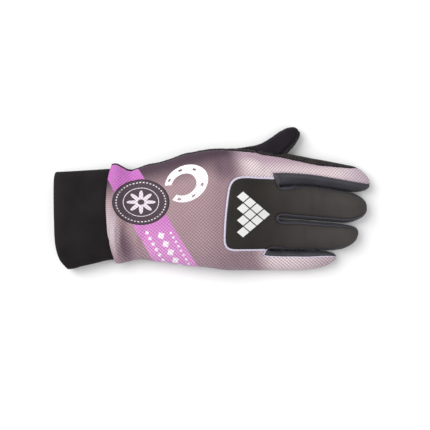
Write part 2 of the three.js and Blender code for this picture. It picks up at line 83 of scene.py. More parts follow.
# The fingers: the two edges seen from above as x, thumb side, little side; the tip, and where it
# starts to round off; the height at the root; and how square the tip is.
FINGERS = {
    "index": {
        "edges": [(126.0, 48.8, 19.4), (145.8, 45.7, 20.1), (163.4, 42.3, 20.0),
                  (180.0, 39.2, 17.8), (195.0, 36.2, 15.4), (203.0, 34.2, 13.9), (211.0, 31.0, 12.4)],
        "tip": 211.0, "round_from": 193.0, "height": 19.5, "tip_power": 2.1,
    },
    "middle": {
        "edges": [(136.0, 19.0, -4.2), (150.0, 19.7, -6.5), (163.4, 19.6, -7.5),
                  (180.0, 17.4, -8.9), (195.0, 15.0, -9.4), (208.5, 13.0, -7.9)],
        "tip": 208.5, "round_from": 188.0, "height": 20.5, "tip_power": 2.35,
    },
    "ring": {
        "edges": [(130.0, -8.0, -30.7), (150.0, -7.2, -31.1), (163.4, -8.2, -31.1),
                  (180.0, -9.6, -31.0), (192.0, -9.9, -30.2), (201.8, -8.2, -28.2)],
        "tip": 201.8, "round_from": 181.0, "height": 19.5, "tip_power": 2.15,
    },
    "little": {
        "edges": [(120.0, -30.6, -47.2), (135.0, -31.2, -47.2), (153.8, -31.6, -47.2),
                  (165.0, -31.8, -46.4), (175.0, -31.6, -44.6), (184.4, -31.6, -42.2)],
        "tip": 184.4, "round_from": 167.0, "height": 16.5, "tip_power": 2.0,
    },
}
NAMES = list(FINGERS)
FINGER_HEIGHT_SHARES = [(0.0, 1.02), (0.3, 0.97), (0.62, 0.92), (0.85, 0.88), (1.0, 0.86)]

# Where each finger starts on its two sides: the outer sides, and the crotches between fingers
ROOTS = [126.0, 137.0, 135.6, 128.4, 118.0]
CROTCH_RADIUS = 9.0

# Angles round a finger, from its thumb side over the back of the hand, in degrees: where its side
# wall turns into its back and into its underside, where the back's seams lie, and where the
# palm's seam lies on the thumb side, by x, and on the little side
CORNER = 40.0
UNDER = -38.0
OUTER_TOP = 78.0
INDEX_SEAM = 102.5
LITTLE_SEAM = 70.5
PALM_SEAM_THUMB = [
    (0.0, 22.0), (60.0, 21.0), (95.0, 25.0), (108.0, 34.0), (120.0, 40.0), (131.0, 46.0),
    (145.0, 55.0), (156.0, 60.0), (169.0, 63.0), (180.0, 57.0), (188.0, 50.0), (195.0, 38.0),
    (199.0, 18.0), (203.0, -4.0), (211.0, -20.0),
]
PALM_SEAM_LITTLE = -24.0
# Past the crotch, these sides' seams drop to a lower angle: finger, side, angle
LOW_SEAMS = [("middle", 0, 20.0), ("ring", 1, 20.0)]
# From the hand to a finger, the skin's height blends from so far before the crotch to past it
BLEND_BEFORE = 32.0
BLEND_PAST = 6.0

# The mesh: its step, the hem's stretch where it may stay open, the distances at which points are
# welded before and after the thumb is joined, and the least area of a face and of an island
GRID_STEP = 1.5
HEM_REACH = 12.0
WELD = 0.02
JOIN_WELD = 0.12
LEAST_FACE = 1e-6
LEAST_ISLAND = 250.0

# The panels of the sewn skin: piece, the CAD node it stands for, material, material slot
PANELS = [
    ("palm_cloth", "palm_panel", "synthetic_suede", "suede"),
    ("back_cloth", "back_panel", "printed_polyester_mesh", "printed_mesh"),
    ("knuckle_cloth", "knuckle_panel", "bonded_softshell", "softshell"),
    ("gusset_index_middle", "fourchette_index_middle", "nylon_stretch_knit", "stretch"),
    ("gusset_middle_ring", "fourchette_middle_ring", "nylon_stretch_knit", "stretch"),
    ("gusset_ring_little", "fourchette_ring_little", "nylon_stretch_knit", "stretch"),
    ("thumb_upper", "thumb_back", "polyester_jersey", "stretch"),
    ("thumb_under", "thumb_front", "synthetic_suede", "suede"),
]
PALM, BACK, KNUCKLES, FOURCHETTE, THUMB_BACK, THUMB_FRONT = 0, 1, 2, 3, 6, 7
CAP = len(PANELS)

# The thumb in its own frame: along it, its left and right half widths, and its height. It starts
# inside the hand, and stands free of the index finger from a place along it.
THUMB_ROOT = (107.3, 24.24)
THUMB_YAW = 41.0
THUMB_EDGES = [
    (-13.0, 22.9, 8.8, 15.0), (0.0, 25.0, 9.9, 16.2), (9.0, 24.2, 9.6, 16.8),
    (18.0, 18.7, 9.1, 16.2),
    (30.0, 11.9, 8.9, 15.3), (40.0, 9.5, 8.7, 15.0), (49.0, 8.6, 7.9, 14.6), (55.0, 8.0, 7.2, 14.2),
    (63.0, 7.2, 6.4, 13.8),
]
THUMB_START = -13.0
THUMB_FREE_FROM = 25.0
THUMB_TIP = 62.0
THUMB_ROUND_FROM = 48.0
THUMB_TIP_POWER = 2.2
THUMB_SEAM_LEFT = -10.5
THUMB_SEAM_RIGHT = 127.6
THUMB_CLEARANCE = 0.9

# The knuckle panel's edge on the hand: x, y. It starts at a share of the index gusset's end, and
# is cut only in faces of the back that look up and lie between these y.
KNUCKLE_START = 0.42
KNUCKLE_ZONE = (-35.0, 33.0)
KNUCKLE_EDGE = [
    (127.0, 25.6), (120.0, 25.9), (113.0, 26.3), (108.0, 26.1), (104.5, 25.2), (101.6, 23.2),
    (99.6, 20.2), (98.6, 16.8), (97.6, 10.0), (96.4, 0.0), (95.6, -10.0), (95.1, -20.0),
    (95.2, -25.0), (96.4, -28.4), (99.0, -30.3), (102.0, -30.9), (110.0, -31.0), (120.0, -31.0),
]

# The mesh's ribs: turns for each millimetre along and across the hand, for two slanting sets and
# the hem's straight one. The slanting sets are 1.9 mm apart, where the real mesh has about 1 mm:
# coarser, to show. Then where across the hand each slanting set is weakest and strongest, and how
# strong it is there.
RIB_TURNS = [(0.395, -0.366, 0), (0.3175, 0.376, 0), (0.04, 0.65, 0)]
RIB_WEIGHTS = [(-45.0, 10.0, 0.8, 1.05), (42.0, -30.0, 0.25, 1.4)]

# Fades along the hand, for the print's paler fingers, for the palm, and for the painted shade
# beside the knuckles: how they slant, where they start and where they are full
GROUND_FADES = [(0.25, 107.0, 125.0), (-0.37, 101.0, 85.0), (0.0, 76.0, 96.0)]

# The printed band: its two slanting edges, each a direction across it and how far along that it
# lies, and its turn in degrees
BAND_LEFT = ((0.876, 0.482), 14.5)
BAND_RIGHT = ((0.856, 0.517), 40.4)
BAND_TURN = 29.5
# Rows of diamonds on the band, below this y: centre at y = 0, pitch, size
DIAMONDS_BELOW = -15.5
DIAMOND_ROWS = [(24.0, 5.0, 1.7), (34.0, 7.5, 3.1), (43.0, 4.0, 1.2)]
# An oval patch: centre, half sizes. Its rings: radius, half width, dashes, least wave that shows
PATCH = ((29.2, 6.8), (22.6, 18.0))
PATCH_RINGS = [(0.86, 0.022, 44.0, -0.1), (0.62, 0.014, 1.0, -2.0)]
# A horseshoe: centre, half sizes, turn in degrees
SHOE = ((64.0, 21.0), (18.5, 14.5), -152.0)
# A fan of diamonds on the knuckles: its point, a diamond's length and width, its rows, and the
# line between diamonds as a share of one
FAN_POINT = (131.4, -2.9)
FAN_DIAMOND = (11.0, 9.25)
FAN_ROWS = 4
FAN_LINE = 0.06

# The inks that aren't settings, and two colours of painted shade: mauve along the little side
# and index_edge_shade along the index finger's edge
INKS_AND_SHADES = {
    "ground_deeper": "#9d8288", "mauve": "#967b8a", "index_edge_shade": "#ab929f",
    "band_pale": "#d68fca", "diamond": "#f1e9f2", "shoe": "#f4f1f5", "fan": "#dfe0dd",
    "patch_rim": "#2c2229", "patch": "#46373f", "patch_mark": "#ded3dd",
}

# Soft clouds laid on the print's ground, most of them painted light and shade: centre, turn in
# degrees, half sizes, strength, colour
PRINT_CLOUDS_AND_PAINTED_LIGHT = [
    # Painted shade in the hollow beside the wrist crease
    ((17.5, -30.0), 12.0, (10.0, 22.0), 0.75, "#62495a"),
    # Painted highlight on the lit bulge along the wrist hem
    ((5.0, -15.0), 4.0, (8.5, 28.0), 0.7, "#cabec6"),
    # The print's dark ground by the thumb side, with painted shade where the hand curves away
    ((95.5, 32.5), -25.0, (17.0, 14.0), 0.7, "#5a4352"),
    # Painted highlight on the bulge at the index finger's root, over a pale spot of the print
    ((116.0, 36.5), -25.0, (12.0, 8.0), 0.55, "#e9dbdb"),
    # Painted shade towards the index fingertip
    ((203.0, 25.0), 0.0, (22.0, 20.0), 0.55, "#a893a4"),
    # Painted shade towards the little fingertip
    ((180.0, -42.0), 0.0, (34.0, 16.0), 0.55, "#a08a97"),
]

# The rolled edges of the gussets: gusset, the panel it is sewn to, size, and how much more the
# roll swells at the crotch
GUSSET_ROLLS = [
    (FOURCHETTE, BACK, 1.0, 0.0), (FOURCHETTE, KNUCKLES, 1.0, 0.0),
    (FOURCHETTE + 1, KNUCKLES, 1.4, 0.5), (FOURCHETTE + 2, KNUCKLES, 1.0, 0.5),
]

# Sections of what is sewn on, swept along a seam: half width, half height, how far it is lifted
# off the skin and shifted into the panel
BINDING = {"half_width": 0.8, "half_height": 0.52, "lift": 0.42, "shift": 0.15}
THIN_RIM = {"half_width": 0.38, "half_height": 0.32, "lift": 0.25, "shift": 0.2}
ROLL = {"half_width": 0.66, "half_height": 0.44, "lift": 0.28, "shift": 0.4}
GUSSET_START = {"half_width": 2.3, "half_height": 1.15, "lift": 0.45, "shift": 1.75, "sides": 12}
HEM_FOLD = {"half_width": 0.85, "half_height": 0.75, "lift": -0.62, "shift": 0.15, "sides": 10}
# The overlock stitches on the binding: pitch, length, radius, and how far they lie off the skin
# and into the panel. Then the other stitches: length as a share of the pitch, radius.
OVERLOCK = (1.45, 2.1, 0.36, 0.66, 0.2)
STITCH = (0.74, 0.24)
# The sections' distance along a seam, and along the gusset's start
SWEEP_STEP = 0.9
START_STEP = 0.6

# The cuff: along it, its two edges and its height. Its free edge: across it, along it. Its
# wall, how far it goes in under the hem, and how much narrower it gets there.
CUFF_EDGES = [
    (-42.0, 31.0, -46.6, 21.0), (-28.0, 31.6, -46.4, 21.3), (-20.0, 32.1, -44.3, 21.5),
    (-8.6, 32.8, -41.7, 21.4), (0.0, 33.4, -39.6, 21.2), (8.0, 33.6, -38.6, 21.2),
]
CUFF_FREE_EDGE = [
    (-1.0, -30.3), (-0.8, -35.8), (-0.5, -38.8), (0.0, -39.7), (0.5, -40.1), (0.9, -40.2),
    (1.0, -39.7),
]
CUFF_WALL = 2.4
CUFF_TUCK = 5.0
CUFF_SLACK = 1.6

# The cloth's unevenness: height, and bumps for each millimetre. Beside a seam: the groove's
# width; the puff's height, distance and width; the pucker's height, bumps for each millimetre and
# width. The skin stays so far above the floor, and the stitches under the palm a little farther.
UNEVEN = [(0.30, 0.045), (0.10, 0.16)]
SEAM_REACH = 9.0
GROOVE_WIDTH = 1.0
PUFF = (0.3, 2.8, 1.7)
PUCKER = (0.36, 0.4, 3.6)
ABOVE_FLOOR = 0.02
STITCH_ABOVE_FLOOR = 0.2

# Creases: a line of x, y points, depth, width, and whether it is on the back
CREASES = [
    ([(20.0, -7.0), (17.5, -16.0), (17.0, -26.0), (21.0, -42.0)], 2.6, 3.6, True),
    ([(6.6, 0.0), (5.6, -18.0), (8.6, -40.0)], 0.8, 1.2, True),
    ([(10.6, -10.0), (10.0, -24.0), (13.0, -40.0)], 0.9, 1.3, True),
    ([(30.0, -20.0), (29.0, -30.0), (33.0, -40.0)], 0.9, 2.6, True),
    ([(18.0, 34.0), (22.0, 26.0), (27.0, 16.0)], 0.8, 2.8, True),
    ([(34.0, -8.0), (31.0, -22.0), (35.0, -38.0)], 0.7, 2.6, True),
    ([(60.0, -30.0), (72.0, -38.0), (84.0, -43.0)], 0.5, 2.8, True),
    ([(88.0, 46.0), (92.0, 38.0), (94.0, 26.0)], 0.6, 3.0, True),
    ([(100.0, -34.0), (106.0, -40.0), (110.0, -45.0)], 0.45, 2.2, True),
    ([(165.0, 17.0), (166.0, 8.0), (167.0, -4.0)], 0.4, 2.4, True),
    ([(160.0, -11.0), (161.0, -20.0), (162.0, -30.0)], 0.4, 2.4, True),
    ([(40.0, 20.0), (56.0, 6.0), (66.0, -14.0), (70.0, -34.0)], 0.9, 3.0, False),
    ([(92.0, 26.0), (96.0, 6.0), (100.0, -16.0), (98.0, -36.0)], 1.0, 3.0, False),
    ([(140.0, 46.0), (142.0, 34.0), (141.0, 24.0)], 0.7, 2.2, False),
    ([(152.0, 15.0), (153.0, 5.0), (152.0, -3.0)], 0.7, 2.2, False),
    ([(150.0, -11.0), (151.0, -20.0), (150.0, -29.0)], 0.7, 2.2, False),
    ([(140.0, -33.0), (141.0, -40.0), (140.0, -45.0)], 0.6, 2.0, False),
]

# Rows of stitches: name, finish, slot, and the seams as pair of panels, panel it is on, offset
STITCH_ROWS = [
    ("palm_stitches", "dark_thread", "suede", [
        ((PALM, BACK), PALM, 1.7), ((PALM, THUMB_BACK), PALM, 1.7),
        ((PALM, THUMB_FRONT), PALM, 1.7),
        ((THUMB_BACK, THUMB_FRONT), THUMB_FRONT, 1.6), ((PALM, FOURCHETTE), PALM, 1.6),
        ((PALM, FOURCHETTE + 1), PALM, 1.6), ((PALM, FOURCHETTE + 2), PALM, 1.6),
        ((PALM, CAP), PALM, 5.0),
    ]),
    ("back_stitches", "lilac_thread", "printed_mesh", [
        ((BACK, CAP), BACK, 5.0),
    ]),
]

# The stage, in metres: the camera's lens and sensor in its own millimetres, the width it sees at
# a height, and where it hangs; the lights' name, place, size and power
CAMERA_LENS = 110
CAMERA_SENSOR = 36
VIEW_WIDTH = 0.344
VIEW_HEIGHT = 0.005
CAMERA_OVER = (0.0025, -0.0127)
LIGHTS = [
    ("key", (-0.68, 0.47, 1.0), 1.1, 15.0),
    ("fill", (0.8, -0.5, 1.1), 1.4, 4.5),
]
WORLD_STRENGTH = 0.58


def linear(code):
    """An sRGB hex colour as linear red, green and blue."""
    values = [int(code[i:i + 2], 16) / 255 for i in (1, 3, 5)]
    return tuple(v / 12.92 if v <= 0.04045 else ((v + 0.055) / 1.055) ** 2.4 for v in values)


def colour(name, code, description):
    """A colour setting, in linear red, green and blue."""
    return FloatVectorProperty(
        name=name, description=description, default=linear(code), size=3, min=0, max=1,
        subtype="COLOR",
    )


class GloveSettings(PropertyGroup):
    """Sizes and colours of the glove that a user would change."""

    cloth: FloatProperty(
        name="Cloth thickness", description="Wall of the sewn panels",
        default=0.0012, min=0.0004, max=0.003, unit="LENGTH",
    )
    seam_depth: FloatProperty(
        name="Seam depth", description="How far a seam is drawn into the cloth",
        default=0.0008, min=0.0, max=0.002, unit="LENGTH",
    )
    stitch_pitch: FloatProperty(
        name="Stitch pitch", description="Distance from one stitch to the next",
        default=0.0027, min=0.0015, max=0.006, unit="LENGTH",
    )
    ground: colour("Mesh ground", "#a78b91", "Ground colour of the printed mesh")
    ground_light: colour("Mesh light", "#d1bfc4", "Colour the print fades to over the fingers")
    # Also the colour of painted shade beside the knuckles, and with the print's dark ground along the
    # thumb side
    ground_dark_and_shade: colour("Mesh dark", "#402a38", "Colour the print fades to along the thumb side")
    band: colour("Band", "#bd69b6", "Colour of the printed band across the wrist")
    softshell: colour("Softshell", "#272421", "Colour of the knuckle panel")
    # Painted light: the colour the softshell pales to at the fingertips, where light falls on their
    # ends
    softshell_pale: colour(
        "Softshell pale", "#423f3d", "Colour the softshell pales to at the fingertips"
    )
    suede: colour("Suede", "#292625", "Colour of the palm")
    knit: colour("Knit", "#36353c", "Colour of the strips between the fingers")
    cuff: colour("Cuff", "#1b1819", "Colour of the stretch cuff")
    edging: colour("Edging", "#d2cce0", "Colour of the thread round the knuckle panel")


# Materials

def add(tree, kind, settings=None, links=None):
    """Adds a shader node, sets its options and inputs, and links its inputs to other outputs."""
    made = tree.nodes.new("ShaderNode" + kind)
    for key, value in (settings or {}).items():
        if isinstance(key, str) and hasattr(made, key):
            setattr(made, key, value)
        else:
            made.inputs[key].default_value = value
    for key, socket in (links or {}).items():
        tree.links.new(socket, made.inputs[key])
    return made


def material(name, values, surface):
    """A material by name, made on its first use: plain values on the shader, then its patterns."""
    made = bpy.data.materials.get(name)
    if made is None:
        made = bpy.data.materials.new(name)
        made.use_nodes = True
        tree = made.node_tree
        shader = tree.nodes["Principled BSDF"]
        for key, value in values.items():
            shader.inputs[key].default_value = value
        surface(tree, shader)
    return made


def rib_height(tree, flat, along, across):
    """Height of the mesh's ribs, which cross slantwise and run straight along the hem."""
    waves = []
    for turns in RIB_TURNS:
        vector = tuple(2 * math.pi * t for t in turns)
        phase = add(tree, "VectorMath", {"operation": "DOT_PRODUCT", 1: vector}, {0: flat})
        wave = add(tree, "Math", {"operation": "SINE"}, {0: phase.outputs["Value"]})
        waves.append(wave.outputs[0])
    for k, (low, high, least, most) in enumerate(RIB_WEIGHTS):
        weight = add(tree, "MapRange", {1: low, 2: high, 3: least, 4: most}, {0: across}).outputs[0]
        waves[k] = add(tree, "Math", {"operation": "MULTIPLY"}, {0: waves[k], 1: weight}).outputs[0]
    crossed = add(tree, "Math", {"operation": "ADD"}, {0: waves[0], 1: waves[1]}).outputs[0]
    near_hem = add(
        tree, "MapRange", {"interpolation_type": "SMOOTHSTEP", 1: 13.0, 2: 6.0, 4: 0.85}, {0: along}
    ).outputs[0]
    return add(
        tree, "Mix", {"data_type": "FLOAT"}, {0: near_hem, 2: crossed, 3: waves[2]}
    ).outputs[0]


def ground_tones_and_painted_light(tree, uv, along, across):
    """The soft tones of the print's ground with painted light and shade laid over it, as masks with
    colours, and the fade over the fingers.

    It is dark along the thumb side, where the print's dark ground has painted shade added as the
    hand curves away, and light over the fingers. Painted shade makes it a darker mauve along the
    little side, a little deeper beside the knuckles and darker along the index finger's edge by the
    suede. The clouds paint shade into the wrist hollow and the index and little fingertips, and
    highlights onto the hem's bulge and the index finger's root."""
    colours = bpy.context.scene.glove
    fades = []
    for slope, low, high in GROUND_FADES:
        way = add(tree, "Math", {"operation": "MULTIPLY_ADD", 1: slope}, {0: across, 2: along})
        fades.append(add(
            tree, "MapRange", {"interpolation_type": "SMOOTHSTEP", 1: low, 2: high},
            {0: way.outputs[0]},
        ).outputs[0])
    fingers, palm, knuckles = fades
    from_edge = add(
        tree, "Math", {"operation": "MULTIPLY_ADD", 1: -0.25}, {0: along, 2: across}
    ).outputs[0]
    thumb_side, little_side_shade, index_edge_shade = (
        add(
            tree, "MapRange", {"interpolation_type": "SMOOTHSTEP", 1: low, 2: high, 4: most},
            {0: way},
        ).outputs[0]
        for way, low, high, most in (
            (from_edge, 3.0, 25.0, 1.0), (across, -20.0, -42.0, 0.4), (across, 29.0, 43.0, 1.0),
        )
    )
    # The print's dark ground along the thumb side, with painted shade where the hand curves away
    dark = add(tree, "Math", {"operation": "MULTIPLY"}, {0: thumb_side, 1: palm}).outputs[0]
    # Painted shade beside the knuckle panel
    beside = add(tree, "Math", {"operation": "MULTIPLY", 1: 0.22}, {0: knuckles}).outputs[0]
    # Painted shade along the index finger's edge by the suede
    edge = add(tree, "Math", {"operation": "MULTIPLY"}, {0: index_edge_shade, 1: fingers}).outputs[0]
    tones = [
        # Painted shade, a darker mauve, along the little side, which turns away from the light
        (little_side_shade, linear(INKS_AND_SHADES["mauve"])), (beside, colours.ground_dark_and_shade),
        (fingers, colours.ground_light), (dark, colours.ground_dark_and_shade),
        (edge, linear(INKS_AND_SHADES["index_edge_shade"])),
    ]
    for centre, turn, half, strength, colour in PRINT_CLOUDS_AND_PAINTED_LIGHT:
        own = add(
            tree, "Mapping",
            {"vector_type": "TEXTURE", "Location": (centre[0] * MM, centre[1] * MM, 0),
             "Rotation": (0, 0, math.radians(turn)), "Scale": (half[0] * MM, half[1] * MM, MM)},
            {"Vector": uv},
        )
        away = add(tree, "VectorMath", {"operation": "LENGTH"}, {0: own.outputs[0]}).outputs["Value"]
        near = add(
            tree, "MapRange", {"interpolation_type": "SMOOTHSTEP", 1: 1.0, 2: 0.1, 4: strength},
            {0: away},
        )
        tones.append((near.outputs[0], linear(colour)))
    return tones, fingers


def band_layers(tree, uv, flat, across):
    """A plain band that slants across the wrist, paler downwards, and the diamonds on it."""
    edges = []
    for (direction, at), kind in ((BAND_LEFT, "GREATER_THAN"), (BAND_RIGHT, "LESS_THAN")):
        way = add(tree, "VectorMath", {"operation": "DOT_PRODUCT", 1: (*direction, 0)}, {0: flat})
        edges.append(add(tree, "Math", {"operation": kind, 1: at}, {0: way.outputs["Value"]}))
    band = add(
        tree, "Math", {"operation": "MULTIPLY"}, {0: edges[0].outputs[0], 1: edges[1].outputs[0]}
    ).outputs[0]
    down = add(tree, "MapRange", {1: 8.0, 2: -30.0}, {0: across}).outputs[0]
    paler = add(tree, "Math", {"operation": "MULTIPLY"}, {0: band, 1: down}).outputs[0]
    layers = [(band, bpy.context.scene.glove.band), (paler, linear(INKS_AND_SHADES["band_pale"]))]
    below = add(tree, "Math", {"operation": "LESS_THAN", 1: DIAMONDS_BELOW}, {0: across}).outputs[0]
    for centre, pitch, size in DIAMOND_ROWS:
        own = add(
            tree, "Mapping",
            {"vector_type": "TEXTURE", "Location": (centre * MM, 0, 0),
             "Rotation": (0, 0, math.radians(BAND_TURN)), "Scale": (size * MM, size * MM, MM)},
            {"Vector": uv},
        )
        split = add(tree, "SeparateXYZ", None, {0: own.outputs[0]})
        half = pitch / size / 2
        step = add(tree, "Math", {"operation": "WRAP", 1: half, 2: -half}, {0: split.outputs[1]})
        sides = [
            add(tree, "Math", {"operation": "ABSOLUTE"}, {0: socket}).outputs[0]
            for socket in (split.outputs[0], step.outputs[0])
        ]
        away = add(tree, "Math", {"operation": "ADD"}, {0: sides[0], 1: sides[1]}).outputs[0]
        inside = add(tree, "Math", {"operation": "LESS_THAN", 1: 1.0}, {0: away}).outputs[0]
        mask = add(tree, "Math", {"operation": "MULTIPLY"}, {0: inside, 1: below}).outputs[0]
        layers.append((mask, linear(INKS_AND_SHADES["diamond"])))
    return layers


def polar(tree, uv, centre, half, turn=0.0):
    """A motif's own radius and angle on the flat cloth: 1 is the oval with those half sizes."""
    own = add(
        tree, "Mapping",
        {"vector_type": "TEXTURE", "Location": (centre[0] * MM, centre[1] * MM, 0),
         "Rotation": (0, 0, math.radians(turn)), "Scale": (half[0] * MM, half[1] * MM, MM)},
        {"Vector": uv},
    ).outputs[0]
    radius = add(tree, "VectorMath", {"operation": "LENGTH"}, {0: own}).outputs["Value"]
    split = add(tree, "SeparateXYZ", None, {0: own})
    angle = add(
        tree, "Math", {"operation": "ARCTAN2"}, {0: split.outputs[1], 1: split.outputs[0]}
    ).outputs[0]
    return radius, angle


def patch_layers(tree, uv):
    """An oval patch: a dark rim, a ring of dashes, a thin ring and a rosette of eight petals."""
    radius, angle = polar(tree, uv, *PATCH)
    layers = [
        (add(tree, "Math", {"operation": "LESS_THAN", 1: edge}, {0: radius}).outputs[0],
         linear(INKS_AND_SHADES[ink]))
        for edge, ink in ((1.0, "patch_rim"), (0.95, "patch"))
    ]
    for at, width, count, least in PATCH_RINGS:
        ring = add(tree, "Math", {"operation": "COMPARE", 1: at, 2: width}, {0: radius}).outputs[0]
        turns = add(tree, "Math", {"operation": "MULTIPLY", 1: count}, {0: angle}).outputs[0]
        dash = add(tree, "Math", {"operation": "SINE"}, {0: turns}).outputs[0]
        shown_at = add(tree, "Math", {"operation": "GREATER_THAN", 1: least}, {0: dash}).outputs[0]
        mask = add(tree, "Math", {"operation": "MULTIPLY"}, {0: ring, 1: shown_at}).outputs[0]
        layers.append((mask, linear(INKS_AND_SHADES["patch_mark"])))
    turns = add(tree, "Math", {"operation": "MULTIPLY", 1: 8.0}, {0: angle}).outputs[0]
    petals = add(tree, "Math", {"operation": "COSINE"}, {0: turns}).outputs[0]
    edge = add(tree, "Math", {"operation": "MULTIPLY_ADD", 1: 0.15, 2: 0.36}, {0: petals}).outputs[0]
    rosette = add(tree, "Math", {"operation": "LESS_THAN"}, {0: radius, 1: edge}).outputs[0]
    heart = add(tree, "Math", {"operation": "GREATER_THAN", 1: 0.12}, {0: radius}).outputs[0]
    mask = add(tree, "Math", {"operation": "MULTIPLY"}, {0: rosette, 1: heart}).outputs[0]
    return layers + [(mask, linear(INKS_AND_SHADES["patch_mark"]))]


def shoe_layer(tree, uv):
    """A plain horseshoe, narrower towards its heels, with its nail holes."""
    radius, angle = polar(tree, uv, *SHOE)
    off_heel = add(tree, "Math", {"operation": "ABSOLUTE"}, {0: angle}).outputs[0]
    branch = add(tree, "MapRange", {1: 0.5, 2: 3.0, 3: 0.15, 4: 0.27}, {0: off_heel}).outputs[0]
    ring = add(tree, "Math", {"operation": "COMPARE", 1: 0.76}, {0: radius, 2: branch}).outputs[0]
    closed = add(tree, "Math", {"operation": "GREATER_THAN", 1: 0.5}, {0: off_heel}).outputs[0]
    body = add(tree, "Math", {"operation": "MULTIPLY"}, {0: ring, 1: closed}).outputs[0]
    turns = add(tree, "Math", {"operation": "MULTIPLY", 1: 7.5}, {0: angle}).outputs[0]
    beat = add(tree, "Math", {"operation": "COSINE"}, {0: turns}).outputs[0]
    groove = add(tree, "Math", {"operation": "COMPARE", 1: 0.78, 2: 0.05}, {0: radius}).outputs[0]
    nail = add(tree, "Math", {"operation": "GREATER_THAN", 1: 0.72}, {0: beat}).outputs[0]
    holes = add(tree, "Math", {"operation": "MULTIPLY"}, {0: groove, 1: nail}).outputs[0]
    shape = add(tree, "Math", {"operation": "SUBTRACT", "use_clamp": True}, {0: body, 1: holes})
    return shape.outputs[0], linear(INKS_AND_SHADES["shoe"])


def mesh_surface(tree, shader):
    """Warp-knit polyester mesh with a dye-sublimated print: diagonal ribs with pits between them,
    matt, with painted light and shade on the weave: the colour slightly paler on the ribs and darker
    in the pits."""
    uv = add(tree, "TexCoord").outputs["UV"]
    flat = add(tree, "Mapping", {"Scale": (1000, 1000, 1000)}, {"Vector": uv}).outputs[0]
    parts = add(tree, "SeparateXYZ", None, {0: flat})
    along, across = parts.outputs[0], parts.outputs[1]
    cloud = add(tree, "TexNoise", {"Scale": 0.045, "Detail": 2.0}, {"Vector": flat}).outputs[0]
    ground, deeper = bpy.context.scene.glove.ground, linear(INKS_AND_SHADES["ground_deeper"])
    printed = add(
        tree, "Mix", {"data_type": "RGBA", 6: (*ground, 1), 7: (*deeper, 1)}, {0: cloud}
    ).outputs[2]
    tones, light = ground_tones_and_painted_light(tree, uv, along, across)
    for mask, ink in (
        *tones, *band_layers(tree, uv, flat, across), *patch_layers(tree, uv), shoe_layer(tree, uv),
    ):
        printed = add(
            tree, "Mix", {"data_type": "RGBA", 7: (*ink, 1)}, {0: mask, 6: printed}
        ).outputs[2]

    # Painted shade in the pits and painted light on the ribs, most where the print is light.
    weave = rib_height(tree, flat, along, across)
    depth = add(tree, "MapRange", {3: 0.155, 4: 0.225}, {0: light}).outputs[0]
    shade = add(tree, "Math", {"operation": "MULTIPLY_ADD", 2: 1.0}, {0: weave, 1: depth}).outputs[0]
    tinted = add(tree, "VectorMath", {"operation": "SCALE"}, {0: printed, "Scale": shade})
    tree.links.new(tinted.outputs[0], shader.inputs["Base Color"])
    yarn = add(tree, "TexNoise", {"Scale": 2.4, "Detail": 2.0}, {"Vector": flat}).outputs[0]
    height = add(tree, "Math", {"operation": "MULTIPLY_ADD", 1: 0.5}, {0: yarn, 2: weave})
    bump = add(tree, "Bump", {"Strength": 0.8, "Distance": 0.00022}, {"Height": height.outputs[0]})
    tree.links.new(bump.outputs[0], shader.inputs["Normal"])


def shades(base, dark, pale):
    """A colour darker and paler, as the two colours of a Mix node."""
    return {6: (*[c * dark for c in base], 1), 7: (*[min(c * pale, 1) for c in base], 1)}


def suede_surface(tree, shader):
    """Synthetic suede: a brushed microfibre nap, matt, patchy where the nap lies either way."""
    colours = bpy.context.scene.glove
    place_at = add(tree, "TexCoord").outputs["Object"]
    nap = add(
        tree, "TexNoise", {"Scale": 160.0, "Detail": 3.0, "Distortion": 0.6}, {"Vector": place_at}
    ).outputs[0]
    grain = add(tree, "TexNoise", {"Scale": 2600.0, "Detail": 2.0}, {"Vector": place_at}).outputs[0]
    patch = add(tree, "MapRange", {1: 0.32, 2: 0.68}, {0: nap})
    tone = add(tree, "Mix", {"data_type": "RGBA", **shades(colours.suede, 0.72, 1.35)},
               {0: patch.outputs[0]})
    tree.links.new(tone.outputs[2], shader.inputs["Base Color"])
    height = add(tree, "Math", {"operation": "MULTIPLY_ADD", 1: 0.35}, {0: nap, 2: grain})
    bump = add(tree, "Bump", {"Strength": 0.4, "Distance": 0.0002}, {"Height": height.outputs[0]})
    tree.links.new(bump.outputs[0], shader.inputs["Normal"])


